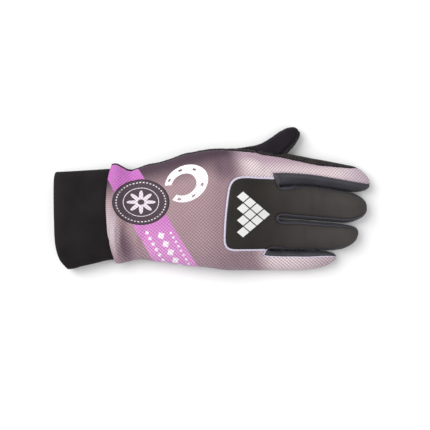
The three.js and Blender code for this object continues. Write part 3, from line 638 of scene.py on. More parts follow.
def softshell_surface(tree, shader):
    """Bonded softshell: a tight woven stretch face over fleece, matt with a faint even sheen. A
    fan of small pale diamonds is transferred onto it."""
    colours = bpy.context.scene.glove
    place_at = add(tree, "TexCoord").outputs["Object"]
    soft = add(tree, "TexNoise", {"Scale": 45.0, "Detail": 2.0}, {"Vector": place_at}).outputs[0]
    fleck = add(tree, "TexNoise", {"Scale": 1500.0, "Detail": 1.0}, {"Vector": place_at}).outputs[0]
    blend = add(tree, "Math", {"operation": "MULTIPLY_ADD", 1: 0.5}, {0: fleck, 2: soft})
    spread = add(tree, "MapRange", {1: 0.5, 2: 1.0}, {0: blend.outputs[0]})
    # Painted light: paler from the finger roots to the tips, where light falls on their rounded ends
    split = add(tree, "SeparateXYZ", None, {0: place_at})
    root, tip = (place(x, 0, 0).x for x in (122.0, 205.0))
    lit_to_tips = add(tree, "MapRange", {1: root, 2: tip}, {0: split.outputs[0]}).outputs[0]
    near, far = (
        add(
            tree, "Mix",
            {"data_type": "RGBA", 6: (*[c * part for c in colours.softshell], 1),
             7: (*[c * part for c in colours.softshell_pale], 1)},
            {0: lit_to_tips},
        ).outputs[2]
        for part in (0.8, 1.22)
    )
    tone = add(
        tree, "Mix", {"data_type": "RGBA"}, {0: spread.outputs[0], 6: near, 7: far}
    ).outputs[2]

    # The fan: diamonds in rows, one at its point and one more in each row towards the wrist
    own = add(
        tree, "Mapping",
        {"vector_type": "TEXTURE", "Location": place(*FAN_POINT, 0),
         "Scale": (-FAN_DIAMOND[0] * MM, FAN_DIAMOND[1] * MM, 1)},
        {"Vector": place_at},
    )
    split = add(tree, "SeparateXYZ", None, {0: own.outputs[0]})
    tests, steps = [], []
    for way in ("ADD", "SUBTRACT"):
        along = add(
            tree, "Math", {"operation": way}, {0: split.outputs[0], 1: split.outputs[1]}
        ).outputs[0]
        part = add(tree, "Math", {"operation": "FRACT"}, {0: along}).outputs[0]
        steps.append(add(tree, "Math", {"operation": "FLOOR"}, {0: along}).outputs[0])
        tests += [
            add(tree, "Math", {"operation": "GREATER_THAN", 1: 0.0}, {0: along}).outputs[0],
            add(
                tree, "Math", {"operation": "COMPARE", 1: 0.5, 2: 0.5 - FAN_LINE}, {0: part}
            ).outputs[0],
        ]
    row = add(tree, "Math", {"operation": "ADD"}, {0: steps[0], 1: steps[1]}).outputs[0]
    shape = add(tree, "Math", {"operation": "LESS_THAN", 1: FAN_ROWS - 0.5}, {0: row}).outputs[0]
    for test in tests:
        shape = add(tree, "Math", {"operation": "MULTIPLY"}, {0: shape, 1: test}).outputs[0]
    film = add(
        tree, "Mix", {"data_type": "RGBA", 7: (*linear(INKS_AND_SHADES["fan"]), 1)}, {0: shape, 6: tone}
    )
    tree.links.new(film.outputs[2], shader.inputs["Base Color"])

    # Threads 0.45 mm apart, where the real face has about 0.25 mm: coarser, to show close up.
    threads = [
        add(
            tree, "TexWave", {"bands_direction": way, "Scale": 350.0, "Distortion": 0.4},
            {"Vector": place_at},
        ).outputs[1]
        for way in ("X", "Y")
    ]
    weave = add(tree, "Math", {"operation": "MULTIPLY"}, {0: threads[0], 1: threads[1]})
    bump = add(tree, "Bump", {"Strength": 0.22, "Distance": 0.0001}, {"Height": weave.outputs[0]})
    tree.links.new(bump.outputs[0], shader.inputs["Normal"])


def knit_surface(base, pitch, lit_fold_edge=False):
    """A surface of fine knit: wales a pitch apart that run along the cloth, in millimetres, and for
    the cuff a painted highlight that pales it along its folded free edge."""

    def surface(tree, shader):
        place_at = add(tree, "TexCoord").outputs["Object"]
        cloud = add(tree, "TexNoise", {"Scale": 60.0, "Detail": 3.0}, {"Vector": place_at}).outputs[0]
        spread = add(tree, "MapRange", {1: 0.3, 2: 0.7}, {0: cloud})
        tone = add(
            tree, "Mix", {"data_type": "RGBA", **shades(base, 0.78, 1.3)}, {0: spread.outputs[0]}
        ).outputs[2]
        # Painted highlight along the cuff's folded free edge, where the fold catches the light
        if lit_fold_edge:
            split = add(tree, "SeparateXYZ", None, {0: place_at})
            near, far = (place(x, 0, 0).x for x in (-33.0, -40.5))
            fold_highlight = add(tree, "MapRange", {1: near, 2: far}, {0: split.outputs[0]}).outputs[0]
            tone = add(
                tree, "Mix", {"data_type": "RGBA", 7: (*[c * 1.7 for c in base], 1)},
                {0: fold_highlight, 6: tone},
            ).outputs[2]
        tree.links.new(tone, shader.inputs["Base Color"])
        scale = 1000 / pitch * 0.05 * math.pi
        wales = add(
            tree, "TexWave",
            {"bands_direction": "Y", "Scale": scale, "Distortion": 0.8, "Detail": 1.0},
            {"Vector": place_at},
        ).outputs[1]
        loops = add(tree, "TexNoise", {"Scale": 1500.0, "Detail": 1.0}, {"Vector": place_at}).outputs[0]
        height = add(tree, "Math", {"operation": "MULTIPLY_ADD", 1: 0.6}, {0: loops, 2: wales})
        bump = add(tree, "Bump", {"Strength": 0.3, "Distance": 0.00012}, {"Height": height.outputs[0]})
        tree.links.new(bump.outputs[0], shader.inputs["Normal"])

    return surface


def thread_surface(base):
    """A surface of spun polyester thread: fine slanting strands, paler where light catches them."""

    def surface(tree, shader):
        place_at = add(tree, "TexCoord").outputs["Object"]
        strands = add(
            tree, "TexWave", {"bands_direction": "DIAGONAL", "Scale": 420.0, "Distortion": 1.0},
            {"Vector": place_at},
        ).outputs[1]
        tone = add(tree, "Mix", {"data_type": "RGBA", **shades(base, 0.82, 1.12)}, {0: strands})
        tree.links.new(tone.outputs[2], shader.inputs["Base Color"])
        bump = add(tree, "Bump", {"Strength": 0.3, "Distance": 0.00008}, {"Height": strands})
        tree.links.new(bump.outputs[0], shader.inputs["Normal"])

    return surface


def paper_surface(tree, shader):
    """Seamless white paper: matt, with a trace of fibre."""
    place_at = add(tree, "TexCoord").outputs["Object"]
    fibre = add(
        tree, "TexNoise", {"Scale": 900.0, "Detail": 2.0}, {"Vector": place_at}
    ).outputs[0]
    dark, pale = (*linear("#f4f4f4"), 1), (*linear("#fafafa"), 1)
    tone = add(tree, "Mix", {"data_type": "RGBA", 6: dark, 7: pale}, {0: fibre})
    tree.links.new(tone.outputs[2], shader.inputs["Base Color"])


def finish(name):
    """The material of a name, from the glove's settings."""
    colours = bpy.context.scene.glove
    table = {
        "printed_polyester_mesh": ({"Roughness": 0.72, "Sheen Weight": 0.22, "Sheen Roughness": 0.4,
                                    "Sheen Tint": (*linear("#dbd0f5"), 1)}, mesh_surface),
        "synthetic_suede": ({"Roughness": 0.95, "Sheen Weight": 0.05, "Sheen Roughness": 0.5,
                             "Specular IOR Level": 0.12}, suede_surface),
        "bonded_softshell": ({"Roughness": 0.8, "Sheen Weight": 0.03, "Sheen Roughness": 0.4,
                              "Specular IOR Level": 0.25}, softshell_surface),
        "nylon_stretch_knit": ({"Roughness": 0.6, "Sheen Weight": 0.03, "Sheen Roughness": 0.4,
                                "Specular IOR Level": 0.35}, knit_surface(colours.knit, 0.9)),
        "polyester_jersey": ({"Roughness": 0.7, "Sheen Weight": 0.03, "Sheen Roughness": 0.4,
                              "Specular IOR Level": 0.15}, knit_surface(linear("#17121a"), 0.8)),
        "ribbed_cuff_knit": ({"Roughness": 0.85, "Sheen Weight": 0.02, "Sheen Roughness": 0.4,
                              "Specular IOR Level": 0.15}, knit_surface(colours.cuff, 1.1, True)),
        "overlock_thread": ({"Roughness": 0.6}, thread_surface(colours.edging)),
        "rolled_knit_edge": ({"Roughness": 0.65}, thread_surface(linear("#3b3941"))),
        "dark_thread": ({"Roughness": 0.55}, thread_surface(linear("#3b3a39"))),
        "lilac_thread": ({"Roughness": 0.55}, thread_surface(linear("#a998a8"))),
    }
    values, surface = table[name]
    return material(name, values, surface)


def smooth(value, low, high):
    """0 at low and 1 at high, with a soft start and end."""
    t = min(max((value - low) / (high - low), 0.0), 1.0)
    return t * t * (3 - 2 * t)


def mix(a, b, t):
    """The value a share t of the way from a to b."""
    return a + (b - a) * t


def follow(rows, at, column=1):
    """A column of a table at a place between its rows, on a smooth curve through them."""
    last = len(rows) - 1
    at = min(max(at, rows[0][0]), rows[last][0])
    i = 0
    while i < last - 1 and rows[i + 1][0] < at:
        i += 1
    span = rows[i + 1][0] - rows[i][0]
    t = (at - rows[i][0]) / span

    def slope(k):
        a, b = max(k - 1, 0), min(k + 1, last)
        return (rows[b][column] - rows[a][column]) / (rows[b][0] - rows[a][0])

    return (
        (2 * t**3 - 3 * t**2 + 1) * rows[i][column]
        + (t**3 - 2 * t**2 + t) * slope(i) * span
        + (3 * t**2 - 2 * t**3) * rows[i + 1][column]
        + (t**3 - t**2) * slope(i + 1) * span
    )


def power_point(degrees, power):
    """The point of a superellipse at an angle."""
    c, s = math.cos(math.radians(degrees)), math.sin(math.radians(degrees))
    return (
        math.copysign(abs(c) ** (2 / power), c),
        math.copysign(abs(s) ** (2 / power), s),
    )


def place(x, y, z):
    """A pattern point in the row frame, in metres."""
    return (Vector((x, y, z)) + HEM_MIDDLE) * MM


# The sewn shell

def finger_section(name, x, degrees):
    """y and z of a finger's skin at x, at an angle round it, before it joins the hand."""
    finger = FINGERS[name]
    start = finger["edges"][0][0]
    thumb_side = follow(finger["edges"], x, 1)
    little_side_shade = follow(finger["edges"], x, 2)
    half = (thumb_side - little_side_shade) / 2
    share = (max(x, start) - start) / (finger["tip"] - start)
    height = finger["height"] * follow(FINGER_HEIGHT_SHARES, share)
    tip = min(max((x - finger["round_from"]) / (finger["tip"] - finger["round_from"]), 0.0), 1.0)
    shrink = (1 - tip ** finger["tip_power"]) ** (1 / finger["tip_power"])
    widest = WIDEST * height
    cy, sz = power_point(degrees, FINGER_POWER)
    reach = (height - widest) if sz > 0 else (widest + SINK * height)
    z = widest + sz * reach * shrink
    return (thumb_side + little_side_shade) / 2 + cy * half * shrink, max(z, 0.0)


def side_of(degrees):
    """0 for a finger's thumb side and 1 for its little side."""
    return 0 if math.cos(math.radians(degrees)) > 0 else 1


def from_side(degrees, side):
    """The angle between a place round a finger and the middle of one of its sides."""
    apart = abs(degrees % 360 - 180)
    return apart if side else 180 - apart


def crotch_pull(name, degrees, x):
    """How strongly the gap beside a finger holds its skin, and where that gap lies."""
    index = NAMES.index(name)
    side = side_of(degrees)
    gap = index + side
    if gap in (0, len(NAMES)):
        return 0.0, 0.0, None
    crotch = ROOTS[gap]
    d = (x - crotch) / CROTCH_RADIUS
    if d >= 1:
        return 0.0, 0.0, None
    hold = 1.0 if d <= 0 else 1 - math.sqrt(max(0.0, 1 - (1 - d) ** 2))
    apart = from_side(degrees, side)
    weight = 1.0 if apart <= CORNER else max(0.0, (90 - apart) / (90 - CORNER)) ** 1.5
    thumb_finger, little_finger = NAMES[gap - 1], NAMES[gap]
    line = (
        follow(FINGERS[thumb_finger]["edges"], crotch, 2)
        + follow(FINGERS[little_finger]["edges"], crotch, 1)
    ) / 2
    return hold * weight, line, (thumb_finger, little_finger)


def finger_skin(name, x, degrees):
    """y and z of a finger's skin with its crotches pulled together."""
    y, z = finger_section(name, x, degrees)
    pull, line, pair = crotch_pull(name, degrees, x)
    if pull > 0:
        side = side_of(degrees)
        corner = 180 - CORNER if side else CORNER
        edge_y = y
        if from_side(degrees, side) > CORNER:
            edge_y = finger_section(name, x, corner)[0]
        y += pull * (line - edge_y)
        mirrored = (180 - degrees) % 360
        first = degrees if side == 1 else mirrored
        second = mirrored if side == 1 else degrees
        shared = (finger_section(pair[0], x, first)[1] + finger_section(pair[1], x, second)[1]) / 2
        z = mix(z, shared, pull)
    return y, z


def root_x(name, y):
    """Where a finger starts, between the crotches on its two sides."""
    index = NAMES.index(name)
    low = finger_skin(name, ROOTS[index], 0)[0]
    high = finger_skin(name, ROOTS[index + 1], 180)[0]
    t = min(max((low - y) / (low - high), 0.0), 1.0)
    return mix(ROOTS[index], ROOTS[index + 1], t)


def root_column(name, degrees):
    """x and y of the finger's root row at an angle."""
    index = NAMES.index(name)
    x = (ROOTS[index] + ROOTS[index + 1]) / 2
    if from_side(degrees, 0) <= CORNER + 1e-6:
        x = ROOTS[index]
    elif from_side(degrees, 1) <= CORNER + 1e-6:
        x = ROOTS[index + 1]
    else:
        for _ in range(4):
            x = root_x(name, finger_skin(name, x, degrees)[0])
    return x, finger_skin(name, x, degrees)[0]


def hand_edges(x):
    """The hand's two side edges at x, the thumb's first."""
    return follow(THUMB_EDGE, x), follow(LITTLE_EDGE, x)


def hand_height(x, share, degrees, wall):
    """z of the hand's skin, where share is -1 to 1 across it."""
    height = follow(HAND_HEIGHTS, x)
    widest = WIDEST * height
    v = max(0.0, 1 - min(abs(share), 1.0) ** HAND_POWER) ** (1 / HAND_POWER)
    top = widest + (height - widest) * v
    bottom = max(0.0, widest - (widest + SINK * height) * v)
    if wall:
        offset = (degrees + 180) % 360 - 180
        if abs(offset) > 90:
            offset = (180 - degrees + 180) % 360 - 180
        return mix(bottom, top, (offset - UNDER) / (CORNER - UNDER))
    return top if math.sin(math.radians(degrees)) >= 0 else bottom


def hem_x(share):
    """The wrist hem bows back in the middle of the hand."""
    return 2.1 + 5.1 * share * share - 1.5 * share


def between(low, high, step_degrees):
    """Even steps from low to high, both included."""
    count = max(1, round(abs(high - low) / step_degrees))
    return [low + (high - low) * k / count for k in range(count + 1)]


def finger_angles(name):
    """The angles of a finger's columns, in four zones from its thumb side over its back."""
    first, last = name == NAMES[0], name == NAMES[-1]
    top_start = OUTER_TOP if first else CORNER
    top_end = 180 - CORNER
    if first:
        wall_a = between(UNDER, 0, 9)[:-1] + between(0, top_start, 7)
        top = between(top_start, INDEX_SEAM, 6) + between(INDEX_SEAM, top_end, 6)[1:]
    elif last:
        wall_a = between(UNDER, CORNER, 10)
        top = between(top_start, LITTLE_SEAM, 9) + between(LITTLE_SEAM, top_end, 9)[1:]
    else:
        wall_a = between(UNDER, CORNER, 10)
        top = between(top_start, top_end, 7.5)
    if last:
        seam = 180 - PALM_SEAM_LITTLE
        wall_b = between(top_end, seam, 9) + [seam + 7, 180 - UNDER]
    else:
        wall_b = between(top_end, 180 - UNDER, 10)
    bottom = between(180 - UNDER, 360 + UNDER, 8.5)
    return {"wall_a": wall_a, "top": top, "wall_b": wall_b, "bottom": bottom}


def slid_angle(name, degrees, x):
    """The columns slide round a finger, so that one of them always lies along its seam."""
    offset = (degrees + 180) % 360 - 180
    if name == NAMES[0] and UNDER <= offset <= OUTER_TOP:
        seam = follow(PALM_SEAM_THUMB, x)
        if offset >= 0:
            return seam + (OUTER_TOP - seam) * offset / OUTER_TOP
        return UNDER + (seam - UNDER) * (offset - UNDER) / (0 - UNDER)
    for finger, side, low in LOW_SEAMS:
        above = offset if side == 0 else (360 - degrees) % 360 - 180
        if name == finger and UNDER <= above <= 90:
            root = ROOTS[NAMES.index(name) + side]
            seam = mix(CORNER, low, smooth(x, root + 5, root + 20))
            if above <= CORNER:
                slid = UNDER + (seam - UNDER) * (above - UNDER) / (CORNER - UNDER)
            else:
                slid = seam + (90 - seam) * (above - CORNER) / (90 - CORNER)
            return slid if side == 0 else 180 - slid
    return degrees


def lay_flat(points, walls):
    """The cloth's flat coordinates of a row of points, with its side walls folded up."""
    flat = [[point.x, point.y] for point in points]
    for first, last, side in walls:
        step = 1 if last > first else -1
        grown = 0.0
        for column in range(first, last, step):
            a, b = points[column], points[column + step]
            grown += (b - a).length - abs(b.y - a.y)
            flat[column + step][1] += side * grown
    return flat


def grid(bm, columns, rows, where, panel=lambda column, row: 0, walls=()):
    """A grid of quads laid through the points that where(column, row) gives, in millimetres. Its
    UV map is the cloth's own flat shape in metres."""
    table = [
        [Vector(where(column, row)) for column in range(columns + 1)] for row in range(rows + 1)
    ]
    flat = [lay_flat(points, walls) for points in table]
    layer = bm.loops.layers.uv.verify()
    made = bmesh.ops.create_grid(bm, x_segments=columns, y_segments=rows, size=1.0)
    spot = {
        vertex: (round((vertex.co.x + 1) / 2 * columns), round((vertex.co.y + 1) / 2 * rows))
        for vertex in made["verts"]
    }
    for face in {face for vertex in made["verts"] for face in vertex.link_faces}:
        corner = (min(spot[vertex][k] for vertex in face.verts) for k in (0, 1))
        face.material_index = panel(*corner)
        for loop in face.loops:
            column, row = spot[loop.vert]
            loop[layer].uv = Vector(flat[row][column]) * MM
    for vertex, (column, row) in spot.items():
        vertex.co = table[row][column]


def shown(name, mesh):
    """A mesh as an object of the scene."""
    obj = bpy.data.objects.new(name, mesh)
    bpy.context.scene.collection.objects.link(obj)
    return obj


def piece(bm, name, finish_name, slot, *nodes, weld=True):
    """A bmesh in millimetres as a finished piece of the glove."""
    if weld:
        bmesh.ops.remove_doubles(bm, verts=bm.verts, dist=WELD)
        bmesh.ops.recalc_face_normals(bm, faces=bm.faces)
    for face in bm.faces:
        face.material_index = 0
        face.smooth = True
    for vertex in bm.verts:
        vertex.co = place(*vertex.co)
    mesh = bpy.data.meshes.new(name)
    bm.to_mesh(mesh)
    bm.free()
    mesh.materials.append(finish(finish_name))
    obj = shown(name, mesh)
    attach(obj, "root")
    if nodes:
        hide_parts(*nodes)
    return obj


def hand_columns():
    """The columns of the hand's ring: finger, angle, kind, where it ends, and its share across."""
    ring = []
    index, little = NAMES[0], NAMES[-1]
    angles = {name: finger_angles(name) for name in NAMES}
    ring += [(index, a, "outer") for a in angles[index]["wall_a"][:-1]]
    for name in NAMES:
        top = angles[name]["top"]
        ring += [(name, a, "top") for a in (top if name == little else top[:-1])]
    ring += [(little, a, "outer") for a in angles[little]["wall_b"][1:]]
    for name in reversed(NAMES):
        ring += [(name, a, "bottom") for a in angles[name]["bottom"][1:]]
    columns = []
    for name, angle, kind in ring:
        x, y = root_column(name, angle)
        columns.append((name, angle, kind, x, share_at(x, y)))
    return columns


def share_at(x, y):
    """How far across the hand a point lies, from -1 at the little side to 1."""
    upper, lower = hand_edges(x)
    return (y - (upper + lower) / 2) / ((upper - lower) / 2)


def sewn_shell(bm):
    """The whole glove without thumb and cuff, as one skin whose faces know their panel."""
    columns = hand_columns()
    rows = round(ROOTS[1] / GRID_STEP)
    thumb_wall = len(finger_angles(NAMES[0])["wall_a"]) - 1
    little_wall = next(i for i, c in enumerate(columns) if i > thumb_wall and c[2] == "outer")
    wall_end = next(i for i, c in enumerate(columns) if c[2] == "bottom")

    def on_hand(column, row):
        name, angle, kind, end, share = columns[column % len(columns)]
        x = mix(hem_x(share), end, row / rows)
        slid = slid_angle(name, angle, x)
        if slid != angle:
            share = share_at(end, finger_skin(name, end, slid)[0])
        upper, lower = hand_edges(x)
        y = (upper + lower) / 2 + (upper - lower) / 2 * share
        own = finger_skin(name, max(x, FINGERS[name]["edges"][0][0]), slid)[1]
        blend = smooth(x, end - BLEND_BEFORE, end + BLEND_PAST)
        return x, y, mix(hand_height(x, share, slid, False), own, blend)

    def hand_panel(column, row):
        name, angle, kind = columns[column][:3]
        if kind == "bottom":
            return PALM
        if kind == "outer" and name == NAMES[0]:
            return PALM if angle < -1e-6 else BACK
        return PALM if angle > 180 - PALM_SEAM_LITTLE - 1e-6 else BACK

    walls = ((thumb_wall, 0, 1), (little_wall, wall_end, -1))
    grid(bm, len(columns), rows, on_hand, hand_panel, walls)
    for name in NAMES:
        sew_finger(bm, name)


def finger_panel(name, zone, angle):
    """The panel of a finger's face, from its zone and the angle where it starts."""
    first, last = name == NAMES[0], name == NAMES[-1]
    gap = FOURCHETTE + NAMES.index(name)
    if zone == "bottom":
        return PALM
    if zone == "wall_a":
        if first:
            return PALM if angle < -1e-6 else BACK
        return gap - 1
    if zone == "wall_b":
        if last:
            return PALM if angle > 180 - PALM_SEAM_LITTLE - 1e-6 else BACK
        return gap
    if first:
        return BACK if angle < INDEX_SEAM - 1e-6 else gap
    if last:
        return gap - 1 if angle < LITTLE_SEAM - 1e-6 else BACK
    return KNUCKLES


def sew_finger(bm, name):
    """One finger of the skin, from the crotches to its tip."""
    zones = finger_angles(name)
    around = [(angle, zone) for zone, angles in zones.items() for angle in angles[:-1]]
    starts = [root_column(name, angle)[0] for angle, zone in around]
    steps = round((FINGERS[name]["tip"] - ROOTS[1]) / GRID_STEP * 1.1)

    def on_finger(column, row):
        angle = around[column % len(around)][0]
        start = starts[column % len(around)]
        x = mix(start, FINGERS[name]["tip"], 1 - (1 - row / steps) ** 1.35)
        slid = slid_angle(name, angle, x)
        y, z = finger_skin(name, x, slid)
        blend = smooth(x, start - BLEND_BEFORE, start + BLEND_PAST)
        if blend < 1:
            from_thumb = from_side(angle, 0)
            on_side = min(from_thumb, from_side(angle, 1)) <= CORNER
            outer = name == (NAMES[0] if from_thumb <= 90 else NAMES[-1])
            z = mix(hand_height(x, share_at(x, y), slid, on_side and not outer), z, blend)
        return x, y, z

    def panel(column, row):
        return finger_panel(name, around[column][1], around[column][0])

    walls = ()
    if name == NAMES[0]:
        walls = ((len(zones["wall_a"]) - 1, 0, 1),)
    elif name == NAMES[-1]:
        before = len(zones["wall_a"]) + len(zones["top"]) - 2
        walls = ((before, before + len(zones["wall_b"]) - 1, -1),)
    grid(bm, len(around), steps, on_finger, panel, walls)


# The thumb

def thumb_frame(u, v, z):
    """A point of the thumb's own frame in the pattern frame."""
    c, s = math.cos(math.radians(THUMB_YAW)), math.sin(math.radians(THUMB_YAW))
    return THUMB_ROOT[0] + u * c - v * s, THUMB_ROOT[1] + u * s + v * c, z


def thumb_tube(bm, grow, start, upper, under):
    """The thumb as a closed tube, from a place along it to its tip."""
    top = between(THUMB_SEAM_LEFT, THUMB_SEAM_RIGHT, 8)
    bottom = between(THUMB_SEAM_RIGHT, 360 + THUMB_SEAM_LEFT, 9)
    around = top[:-1] + bottom[:-1]
    tip = THUMB_TIP + grow
    rows = round((tip - start) / (GRID_STEP * 1.05))

    def on_thumb(column, row):
        degrees = around[column % len(around)]
        u = mix(start, tip, 1 - (1 - row / rows) ** 1.25)
        left, right, height = (follow(THUMB_EDGES, u, k) for k in (1, 2, 3))
        t = min(max((u - THUMB_ROUND_FROM) / (tip - THUMB_ROUND_FROM), 0.0), 1.0)
        shrink = (1 - t**THUMB_TIP_POWER) ** (1 / THUMB_TIP_POWER)
        widest = WIDEST * height
        cy, sz = power_point(degrees, FINGER_POWER)
        v = cy * ((left if cy > 0 else right) + grow) * shrink
        reach = (height - widest) if sz > 0 else (widest + SINK * height)
        return thumb_frame(u, v, max(widest + sz * (reach + grow) * shrink, -grow))

    def panel(column, row):
        return upper if column < len(top) - 1 else under

    grid(bm, len(around), rows, on_thumb, panel)
    bmesh.ops.remove_doubles(bm, verts=bm.verts, dist=WELD)
    bmesh.ops.contextual_create(bm, geom=[edge for edge in bm.edges if edge.is_boundary])
    bmesh.ops.recalc_face_normals(bm, faces=bm.faces)


# From skin to panels

def worked(objects, modifiers):
    """The mesh of the first object after modifiers, as a bmesh. The objects are scratch ones."""
    for kind, values in modifiers:
        modifier = objects[0].modifiers.new(kind.lower(), kind)
        for key, value in values.items():
            setattr(modifier, key, value)
    depsgraph = bpy.context.evaluated_depsgraph_get()
    mesh = bpy.data.meshes.new_from_object(objects[0].evaluated_get(depsgraph))
    for obj in objects:
        bpy.data.objects.remove(obj)
    result = bmesh.new()
    result.from_mesh(mesh)
    bpy.data.meshes.remove(mesh)
    return result


def scratch(name, bm):
    """A bmesh as a scratch object that carries one marker material for each panel and the cap."""
    mesh = bpy.data.meshes.new(name)
    bm.to_mesh(mesh)
    bm.free()
    for index in range(CAP + 1):
        marker = "panel_marker_%d" % index
        mesh.materials.append(bpy.data.materials.get(marker) or bpy.data.materials.new(marker))
    return shown(name, mesh)


def whole_skin():
    """The hand and the thumb sewn together as one fine mesh whose faces know their panel."""
    skin = bmesh.new()
    sewn_shell(skin)
    bmesh.ops.remove_doubles(skin, verts=skin.verts, dist=WELD)
    slivers = [face for face in skin.faces if face.calc_area() < LEAST_FACE]
    bmesh.ops.delete(skin, geom=slivers, context="FACES")
    hem = [edge for edge in skin.edges if edge.is_boundary]
    for face in bmesh.ops.contextual_create(skin, geom=hem)["faces"]:
        face.material_index = CAP
    bmesh.ops.recalc_face_normals(skin, faces=skin.faces)
    thumb, dent = bmesh.new(), bmesh.new()
    thumb_tube(thumb, 0.0, THUMB_START, THUMB_BACK, THUMB_FRONT)
    thumb_tube(dent, THUMB_CLEARANCE, THUMB_FREE_FROM, PALM, PALM)
    parts = [scratch("skin", skin), scratch("thumb", thumb), scratch("dent", dent)]
    whole = worked(parts, [
        ("BOOLEAN", {"operation": "DIFFERENCE", "solver": "EXACT", "object": parts[2]}),
        ("BOOLEAN", {"operation": "UNION", "solver": "EXACT", "object": parts[1]}),
    ])
    cap = [face for face in whole.faces if face.material_index == CAP]
    bmesh.ops.delete(whole, geom=cap, context="FACES")
    bmesh.ops.remove_doubles(whole, verts=whole.verts, dist=JOIN_WELD)
    holes = [edge for edge in whole.edges if edge.is_boundary and edge.verts[0].co.x > HEM_REACH]
    bmesh.ops.holes_fill(whole, edges=holes, sides=0)
    whole = worked([scratch("cage", whole)], [("SUBSURF", {"levels": 1, "render_levels": 1})])
    for marker in [item for item in bpy.data.materials if item.name.startswith("panel_marker")]:
        bpy.data.materials.remove(marker)
    return whole


def settle_islands(bm):
    """Gives each small island that the sewing left in a panel to the panel round it."""
    seen = set()
    for seed in bm.faces:
        if seed in seen:
            continue
        seen.add(seed)
        island, ahead, around = [seed], [seed], {}
        while ahead:
            face = ahead.pop()
            for edge in face.edges:
                for other in edge.link_faces:
                    mark = other.material_index
                    if mark != face.material_index:
                        around[mark] = around.get(mark, 0.0) + edge.calc_length()
                    elif other not in seen:
                        seen.add(other)
                        island.append(other)
                        ahead.append(other)
        if around and sum(face.calc_area() for face in island) < LEAST_ISLAND:
            for face in island:
                face.material_index = max(around, key=around.get)


def gusset_end():
    """The two ends of the line where the index finger's gusset starts on the hand."""
    corner = Vector(root_column(NAMES[0], INDEX_SEAM))
    return corner, Vector((ROOTS[1], finger_skin(NAMES[0], ROOTS[1], 180)[0]))


def knuckle_outline():
    """The knuckle panel's edge on the hand, from the index finger's gusset to the ring finger's."""
    corner, crotch = gusset_end()
    start = corner.lerp(crotch, KNUCKLE_START)
    end = (ROOTS[3], finger_skin(NAMES[2], ROOTS[3], 180)[0])
    return [Vector(point) for point in (start, *KNUCKLE_EDGE, end)]


def outline_distance(line):
    """A function that gives the distance to the knuckle outline, positive inside it."""
    crotch = gusset_end()[1]
    past, on_fingers = 0.6, 150.0
    closed = line + [
        Vector((on_fingers, line[-1].y - 1)), Vector((on_fingers, crotch.y)),
        Vector((crotch.x + past, crotch.y)), Vector((line[0].x + past, line[0].y)),
    ]
    tree = KDTree(len(line) * 40)
    for i, (a, b) in enumerate(zip(line, line[1:])):
        for k in range(40):
            tree.insert((*a.lerp(b, k / 40), 0.0), i)
    tree.balance()

    def distance(co):
        at = Vector((co.x, co.y))
        i = tree.find((*at, 0.0))[1]
        a, b = line[i], line[i + 1]
        span = b - a
        t = min(max((at - a).dot(span) / span.length_squared, 0.0), 1.0)
        apart = (a + span * t - at).length
        inside = False
        for a, b in zip(closed, closed[1:] + closed[:1]):
            if (a.y > at.y) != (b.y > at.y):
                inside ^= at.x < a.x + (b.x - a.x) * (at.y - a.y) / (b.y - a.y)
        return apart if inside else -apart

    return distance


def cut_knuckles(bm):
    """Cuts the knuckle panel out of the back along its outline."""
    line = knuckle_outline()
    distance = outline_distance(line)
    low = min(point.x for point in line) - 3

    def near(face):
        centre = face.calc_center_median()
        on_back = face.material_index == BACK and face.normal.z > 0.2
        return on_back and centre.x > low and KNUCKLE_ZONE[0] < centre.y < KNUCKLE_ZONE[1]

    edges = {edge for face in bm.faces if near(face) for edge in face.edges}
    value = {vertex: distance(vertex.co) for edge in edges for vertex in edge.verts}
    on_line = [vertex for vertex, apart in value.items() if abs(apart) < 0.1]
    for vertex in on_line:
        value[vertex] = 0.0
    for edge in edges:
        a, b = edge.verts
        if value[a] * value[b] < 0:
            on_line.append(bmesh.utils.edge_split(edge, a, value[a] / (value[a] - value[b]))[1])
    bmesh.ops.connect_verts(bm, verts=on_line)
    for face in [face for face in bm.faces if near(face)]:
        if distance(face.calc_center_median()) > 0:
            face.material_index = KNUCKLES


def along_crease(co, points):
    """Distance from a point to a crease, and how far along it the nearest place is, 0 to 1."""
    at = Vector((co.x, co.y))
    best, where, run = 1e9, 0.0, 0.0
    total = sum((b - a).length for a, b in zip(points, points[1:]))
    for a, b in zip(points, points[1:]):
        span = b - a
        t = min(max((at - a).dot(span) / span.length_squared, 0.0), 1.0)
        apart = (a + span * t - at).length
        if apart < best:
            best, where = apart, (run + span.length * t) / total
        run += span.length
    return best, where


def fold_cloth(bm):
    """Folds, creases and slight unevenness of worn-in cloth, laid over the skin."""
    creases = [([Vector(point) for point in line], *rest) for line, *rest in CREASES]
    bm.normal_update()
    moves = []
    for vertex in bm.verts:
        co = vertex.co
        upper = vertex.normal.z > 0
        shift = sum(height * noise.noise(co * often) for height, often in UNEVEN)
        if not upper:
            shift *= 0.5
        for points, depth, width, top in creases:
            if top != upper or abs(vertex.normal.z) < 0.15:
                continue
            xs = [point.x for point in points]
            if not min(xs) - 12 < co.x < max(xs) + 12:
                continue
            apart, where = along_crease(co, points)
            if apart > width * 5:
                continue
            fade = (4 * where * (1 - where)) ** 0.6 * abs(vertex.normal.z) ** 0.5
            shift -= fade * depth * math.exp(-((apart / width) ** 2))
            shift += fade * depth * 0.45 * math.exp(-(((apart - 2.1 * width) / (1.2 * width)) ** 2))
        moves.append((vertex, vertex.normal * shift))
    for vertex, move in moves:
        vertex.co += move


def seam_edges(bm):
    """The edges between panels, by pair of panels, and the hem's edges by their panel."""
    found = {}
    for edge in bm.edges:
        marks = sorted(face.material_index for face in edge.link_faces)
        if len(marks) == 2 and marks[0] != marks[1]:
            found.setdefault(tuple(marks), []).append(edge)
        elif len(marks) == 1:
            found.setdefault((marks[0], CAP), []).append(edge)
    return found


